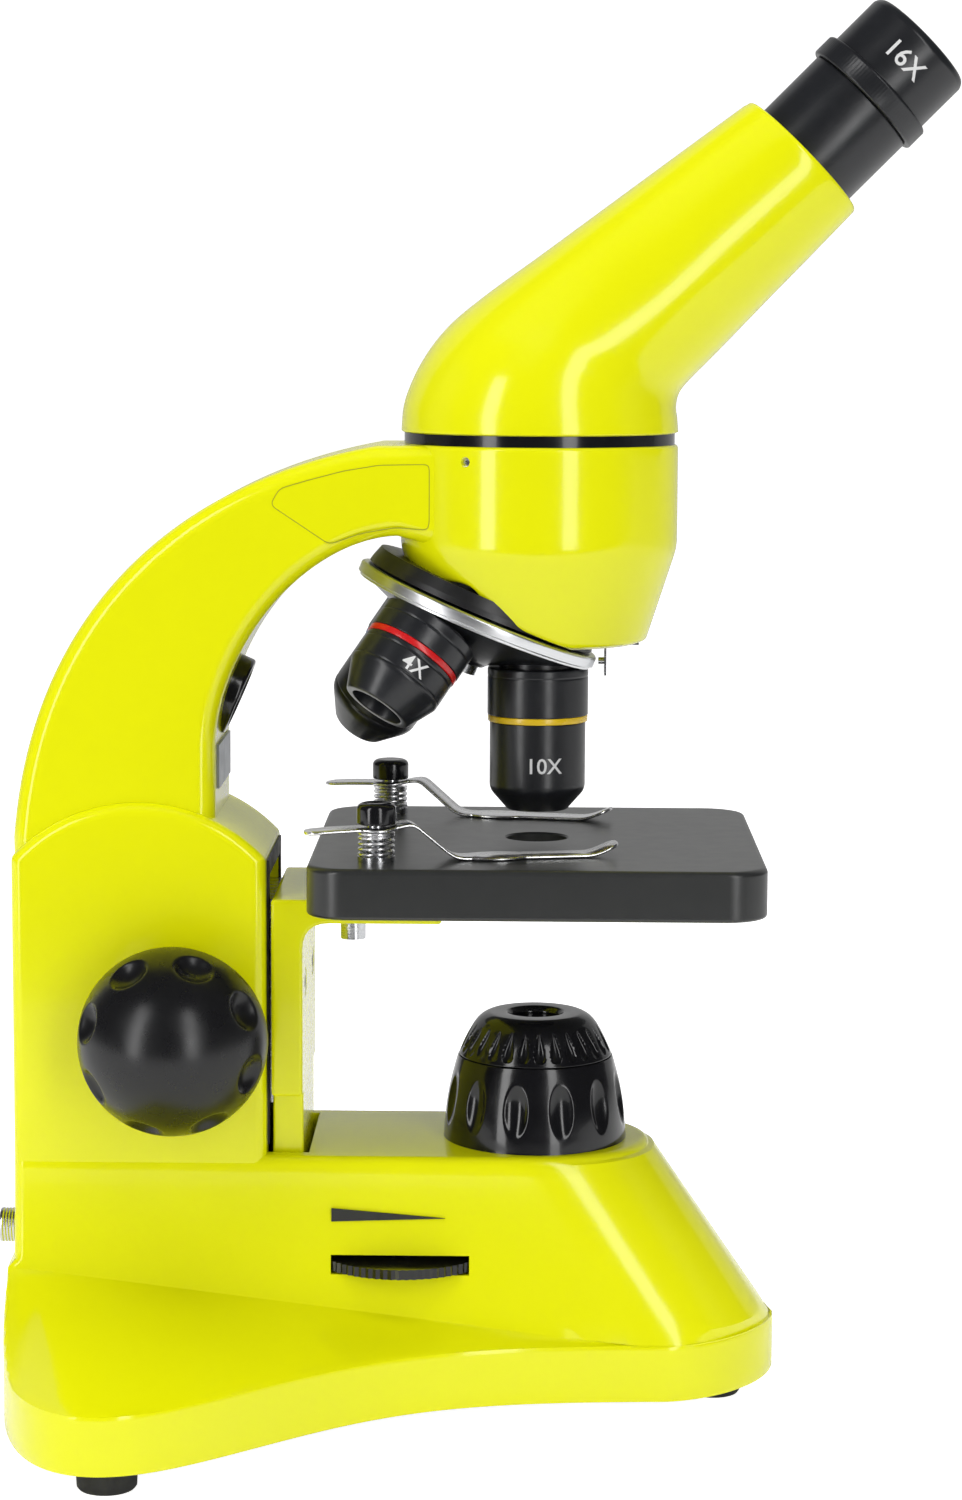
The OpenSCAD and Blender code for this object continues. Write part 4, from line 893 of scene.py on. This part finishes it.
def makeStage(v):
    # rings at one set of directions: from the hole's edge out over the top,
    # round both edges, and back in underneath
    t = np.radians(np.linspace(0, 90, 14))
    inner = v["half"] - v["corner"]
    quarter = np.c_[inner + v["corner"] * np.cos(t), inner + v["corner"] * np.sin(t)]
    side = np.c_[np.full(15, float(v["half"])), np.linspace(-inner, inner, 17)[1:-1]]
    one = np.concatenate([side, quarter])
    turns = [np.array([[math.cos(k), -math.sin(k)], [math.sin(k), math.cos(k)]])
        for k in (0, np.pi / 2, np.pi, 3 * np.pi / 2)]
    outline = np.concatenate([one @ m.T for m in turns])
    away = np.linalg.norm(outline, axis=1)[:, None]
    way = outline / away

    def inset(d):
        # the rounded square stepped inwards by d
        return np.sign(outline) * np.minimum(np.abs(outline),
            v["half"] - d) if d == 0 else outline * (1 - d / np.abs(outline).max(axis=1)[:, None])
    rows = [(way * (v["hole"] + 0.35), v["high"])]
    rows += [(way * (v["hole"] + 0.35) * (1 - s) + inset(v["edge"]) * s, v["high"])
        for s in (0.03, 0.1, 0.3, 0.6, 0.85, 0.97)]
    for f in np.linspace(0, np.pi / 2, 6):
        rows.append((inset(v["edge"] * (1 - math.sin(f))), v["high"] - v["edge"] * (1 - math.cos(f))))
    for f in np.linspace(0, np.pi / 2, 6)[::-1]:
        rows.append((inset(v["edge"] * 0.7 * (1 - math.sin(f))),
            v["low"] + v["edge"] * 0.7 * (1 - math.cos(f))))
    rows += [(way * v["holeBelow"], v["low"]), (way * v["hole"], v["high"] - 2.2),
        (way * v["hole"], v["high"] - 0.35), (way * (v["hole"] + 0.35), v["high"])]
    grid = np.stack([np.c_[p + np.array(v["middle"]), np.full(len(p), z)] for p, z in rows])
    return meshOf("stagePlate", [(grid, True)])


addPiece("stagePlate", makeStage(stageValues), "stage", stageBlack, ["stage_plate"], 30, True)

carrierValues = {"back": -39.2, "front": -32.9, "reach": -5, "low": 66.9, "high": 107.1, "flange": 102.3,
    "half": 21.3, "edge": 0.7, "fillet": 3.4, "tailLow": 47, "tailHalf": 17}


def makeCarrier(v):
    # an angle bracket in side view, its inner corner a fillet
    corners = [(v["back"], v["low"]), (v["front"], v["low"]), (v["front"], v["flange"]),
        (v["reach"], v["flange"]), (v["reach"], v["high"]), (v["back"], v["high"])]
    outline = softCorners(corners, [0.8, 0.8, v["fillet"] * 1.6, 0.8, 0.8, 0.8], 6, True)
    return slabMesh("stageCarrier", outline, -v["half"], v["half"], v["edge"], sidePlace, 4)


stageCarrier = addPiece("stageCarrier", makeCarrier(carrierValues), "stage", enamel,
    ["stage_carrier"], 30, True)


def screwWay(y):
    # a stepped hole for a screw, along x
    profile = [(0, -38), (1.6, -38), (1.6, -34.4), (3, -34.4), (3, -30), (0, -30)]
    return latheCutter(profile, 32, axisFrame((0, y, 88.7), (1, 0, 0)))


carveKeeping(stageCarrier, [screwWay(-11.5), screwWay(11.5)])
tail = carrierValues
tailLine = softCorners([(tail["back"], tail["tailLow"]), (tail["front"] - 0.1, tail["tailLow"]),
    (tail["front"] - 0.1, 68), (tail["back"], 68)], 0.8, 4, True)
addPiece("carrierTail", slabMesh("carrierTail", tailLine, -tail["tailHalf"], tail["tailHalf"], 0.6,
    sidePlace, 4), "stage", enamel, (), 30, True)


# ---- clips, springs and caps

clipValues = {"post": -17.5, "y": 34, "stage": 117.1, "turn": 12, "thick": 0.29, "half": 3.2, "boss": 4.5,
    "padAt": 24, "padLong": 7.48, "padHalf": 4.4,
              "line": [(-14.2, 6.0), (-9, 6.35), (-4, 6.5), (2, 6.5), (5.2, 7.3), (7.2, 7.35), (14.6, 1.1),
                  (16.6, 0.42), (42.5, 0.42), (44.5, 0.9), (48.4, 2.6)]}


def makeClip(v, side):
    # a ribbon along the side line; its half width swells round the post and at the pad
    line = softCorners(v["line"], [0, 1.2, 1.2, 1.2, 1.2, 1.4, 1.6, 1.2, 1.2, 1.2, 0], 6)
    fine = np.concatenate([a + (b - a) * np.linspace(0, 1, max(1, int(np.linalg.norm(b - a) / 0.5)),
        endpoint=False)[:, None] for a, b in zip(line[:-1], line[1:])] + [line[-1:]])
    x = fine[:, 0]
    boss = np.sqrt(np.clip(v["boss"] ** 2 - x ** 2, 0, None))
    pad = v["padHalf"] * np.sqrt(np.clip(1 - ((x - v["padAt"]) / v["padLong"]) ** 2, 0, None))
    ends = np.clip(np.minimum(x + 14.2, 48.4 - x) / 2.4, 0, 1)
    half = np.maximum(np.maximum(v["half"], boss), pad) * (0.35 + 0.65 * np.sqrt(1 - (1 - ends) ** 2)) + 0 * x
    ahead = np.gradient(fine, axis=0)
    up = np.stack([-ahead[:, 1], ahead[:, 0]], axis=-1) / np.linalg.norm(ahead, axis=1)[:, None]
    e = 0.16
    ring = [(1, -1 + e / v["thick"]), (1, 1 - e / v["thick"]), (1 - e / v["half"], 1),
        (-1 + e / v["half"], 1), (-1, 1 - e / v["thick"]), (-1, -1 + e / v["thick"]),
        (-1 + e / v["half"], -1), (1 - e / v["half"], -1)]
    grid = np.stack([np.stack([x + up[:, 0] * v["thick"] * b, a * half,
        fine[:, 1] + up[:, 1] * v["thick"] * b], axis=-1) for a, b in ring], axis=1)
    place = np.array(Matrix.Translation((v["post"], side * v["y"],
        v["stage"])) @ Matrix.Rotation(math.radians(-side * v["turn"]), 4, "Z"))
    n, cols = grid.shape[:2]
    name = "clipNear" if side < 0 else "clipFar"
    return meshOf(name, [(put(grid, place), True)], [range(cols), range((n - 1) * cols, n * cols)])


for side, node in ((-1, "clip_near"), (1, "clip_far")):
    addPiece("clipNear" if side < 0 else "clipFar", makeClip(clipValues, side), node, springSteel,
        [node], 50)

coilValues = {"radius": 3.3, "wire": 0.36, "turns": 5, "low": 1.5, "high": 5.6}


def makeCoils(v, at):
    # wire along a helix: middle (R cos a, R sin a, z(a)), section turned with it; the end turns lie flat
    a = np.linspace(0, v["turns"] * 2 * np.pi, 180)
    part = np.clip((a / a[-1] - 0.12) / 0.76, 0, 1)
    z = v["low"] + (v["high"] - v["low"]) * part
    s = np.linspace(0, 2 * np.pi, 10, endpoint=False)
    out = v["radius"] + v["wire"] * np.cos(s)[None]
    height = z[:, None] + v["wire"] * np.sin(s)[None]
    coil = np.stack([out * np.cos(a)[:, None], out * np.sin(a)[:, None], height], axis=-1)
    n, cols = coil.shape[:2]
    grids, caps = [], []
    for k, side in enumerate((-1, 1)):
        grids.append((coil + np.array([at["post"], side * at["y"], at["stage"]]), True))
        caps += [range(k * n * cols, k * n * cols + cols),
            range(((k + 1) * n - 1) * cols, (k + 1) * n * cols)]
    return meshOf("clipCoils", grids, caps)


addPiece("clipCoils", makeCoils(coilValues, clipValues), "stage", springSteel, ["clip_springs"], 60)
clipCapValues = {"line": [(0, 7.4), (3.6, 7.4), (3.85, 7.6), (3.85, 10.8), (3.4, 11.4), (2.6, 11.7),
    (0, 11.5)], "soft": [0, 0.15, 0.2, 0.4, 0.5, 0.5, 0]}


def makeClipCaps(v, at):
    # two smooth turned caps, one on each post
    line = softCorners(v["line"], v["soft"], 5)
    return meshOf("clipCaps",
        [lathe(line, 96, axisFrame((at["post"], side * at["y"], at["stage"]), (0, 0, 1)))
        for side in (-1, 1)])


addPiece("clipCaps", makeClipCaps(clipCapValues, clipValues), "stage", glossPlastic,
    ["clip_caps"], 50)
print("stage made")


# ---- upper lamp and power inlet

upperPlace = axisFrame((-46.9, 0, 145.6), (math.sin(math.radians(113.5)), 0, math.cos(math.radians(113.5))))
upperLine = softCorners([(0, -13), (5.9, -13), (5.9, -4.5), (8.25, -4.5), (8.25, 0), (6.6, 0), (6.2, -1.7),
    (0, -1.7)], [0, 0.4, 0.3, 0.6, 0.8, 0.3, 0.1, 0], 5)
addPiece("upperLampHead", meshOf("upperLampHead", [lathe(upperLine, 120, upperPlace)]), "stand",
    glossPlastic, ["upper_lamp"], 40)
threadCount = 9
threads = [(3.65 - (0.22 if k % 2 else 0), 0.6 + k * 0.31) for k in range(2 * threadCount)]
inletLine = softCorners([(0, 1.2), (2.7, 1.2), (2.75, 0), (3.5, 0)] + threads + [(3.65, 8), (0, 8)],
    [0, 0.1, 0.1, 0.1] + [0.08] * len(threads) + [0, 0], 3)
addPiece("powerInlet", meshOf("powerInlet", [lathe(inletLine, 64, axisFrame((-97.4, 0, 34.3), (1, 0, 0)))]),
    "stand", steel, ["power_inlet"], 40)
print("lamp and inlet made")


# ---- studio

studioValues = {"floor": (0.88, 0.88, 0.88), "front": -0.45, "glow": 0.95, "bounce": 0.3, "world": 0.06}


def makeStudio(v):
    # floor that sweeps up into a back wall along a quarter circle
    t = np.linspace(0, np.pi / 2, 24)
    line = np.concatenate([[(v["front"], 0.0)], np.c_[2.0 + 1.5 * np.sin(t), 1.5 - 1.5 * np.cos(t)],
        [(3.5, 5.0)]])
    grid = np.stack([np.c_[np.full(len(line), x), line] for x in np.linspace(-5, 5, 5)]) / mm
    mesh = meshOf("sweep", [(grid, False)])
    floor = bpy.data.objects.new("sweep", mesh)
    bpy.context.scene.collection.objects.link(floor)
    n = Nodes("palePaper")
    n.set(color=n.blend(n.noise(3), v["floor"], tuple(c * 0.99 for c in v["floor"])), rough=0.9, specular=0.0)
    n.shader.inputs["Emission Color"].default_value = (1, 1, 1, 1)
    seen = n.add("ShaderNodeLightPath").outputs["Is Camera Ray"]
    n.tree.links.new(n.spread(seen, v["bounce"], v["glow"], 0, 1), n.shader.inputs["Emission Strength"])
    mesh.materials.append(n.material)
    mesh.polygons.foreach_set("use_smooth", np.ones(len(mesh.polygons), bool))
    world = bpy.data.worlds.new("studio")
    bpy.context.scene.world = world
    world.use_nodes = True
    # white where it is looked at, dim where it lights and is mirrored
    tree = world.node_tree
    seen = tree.nodes.new("ShaderNodeLightPath").outputs["Is Camera Ray"]
    level = tree.nodes.new("ShaderNodeMapRange")
    level.inputs["To Min"].default_value, level.inputs["To Max"].default_value = v["world"], 1.0
    tree.links.new(seen, level.inputs["Value"])
    tree.nodes["Background"].inputs[0].default_value = (1, 1, 1, 1)
    tree.links.new(level.outputs[0], tree.nodes["Background"].inputs[1])
    bpy.context.scene.view_settings.view_transform = "Standard"


# areas in metres, power in watts
lampsValues = [
    {"name": "leftStrip", "shines": True, "place": (-0.80, -0.89, 0.52), "aim": (0.0, 0, 0.32),
        "size": (0.27, 1.3), "power": 6},
    {"name": "rightStrip", "shines": True, "place": (0.52, -1.08, 0.52), "aim": (0.0, 0, 0.32),
        "size": (0.27, 1.3), "power": 5.4},
    {"name": "rightPanel", "shines": False, "place": (1.1, -0.15, 0.5), "aim": (0.0, 0, 0.15),
        "size": (0.5, 1.0), "power": 1.6},
    {"name": "leftPanel", "shines": False, "place": (-1.1, 0.1, 0.5), "aim": (0.0, 0, 0.15),
        "size": (0.5, 1.0), "power": 2.4},
    {"name": "topPanel", "shines": False, "place": (0.05, -0.1, 1.3), "aim": (0.0, 0, 0.1),
        "size": (1.3, 1.1), "power": 11}]


def makeLamps(rows):
    for v in rows:
        data = bpy.data.lights.new(v["name"], "AREA")
        data.shape, data.size, data.size_y, data.energy = "RECTANGLE", *v["size"], v["power"]
        lamp = bpy.data.objects.new(v["name"], data)
        bpy.context.scene.collection.objects.link(lamp)
        lamp.location = v["place"]
        lamp.visible_glossy = v["shines"]  # only the strips are seen in the gloss
        lamp.rotation_euler = (Vector(v["aim"]) - Vector(v["place"])).to_track_quat("-Z", "Y").to_euler()


makeStudio(studioValues)
makeLamps(lampsValues)
print("scene ready")
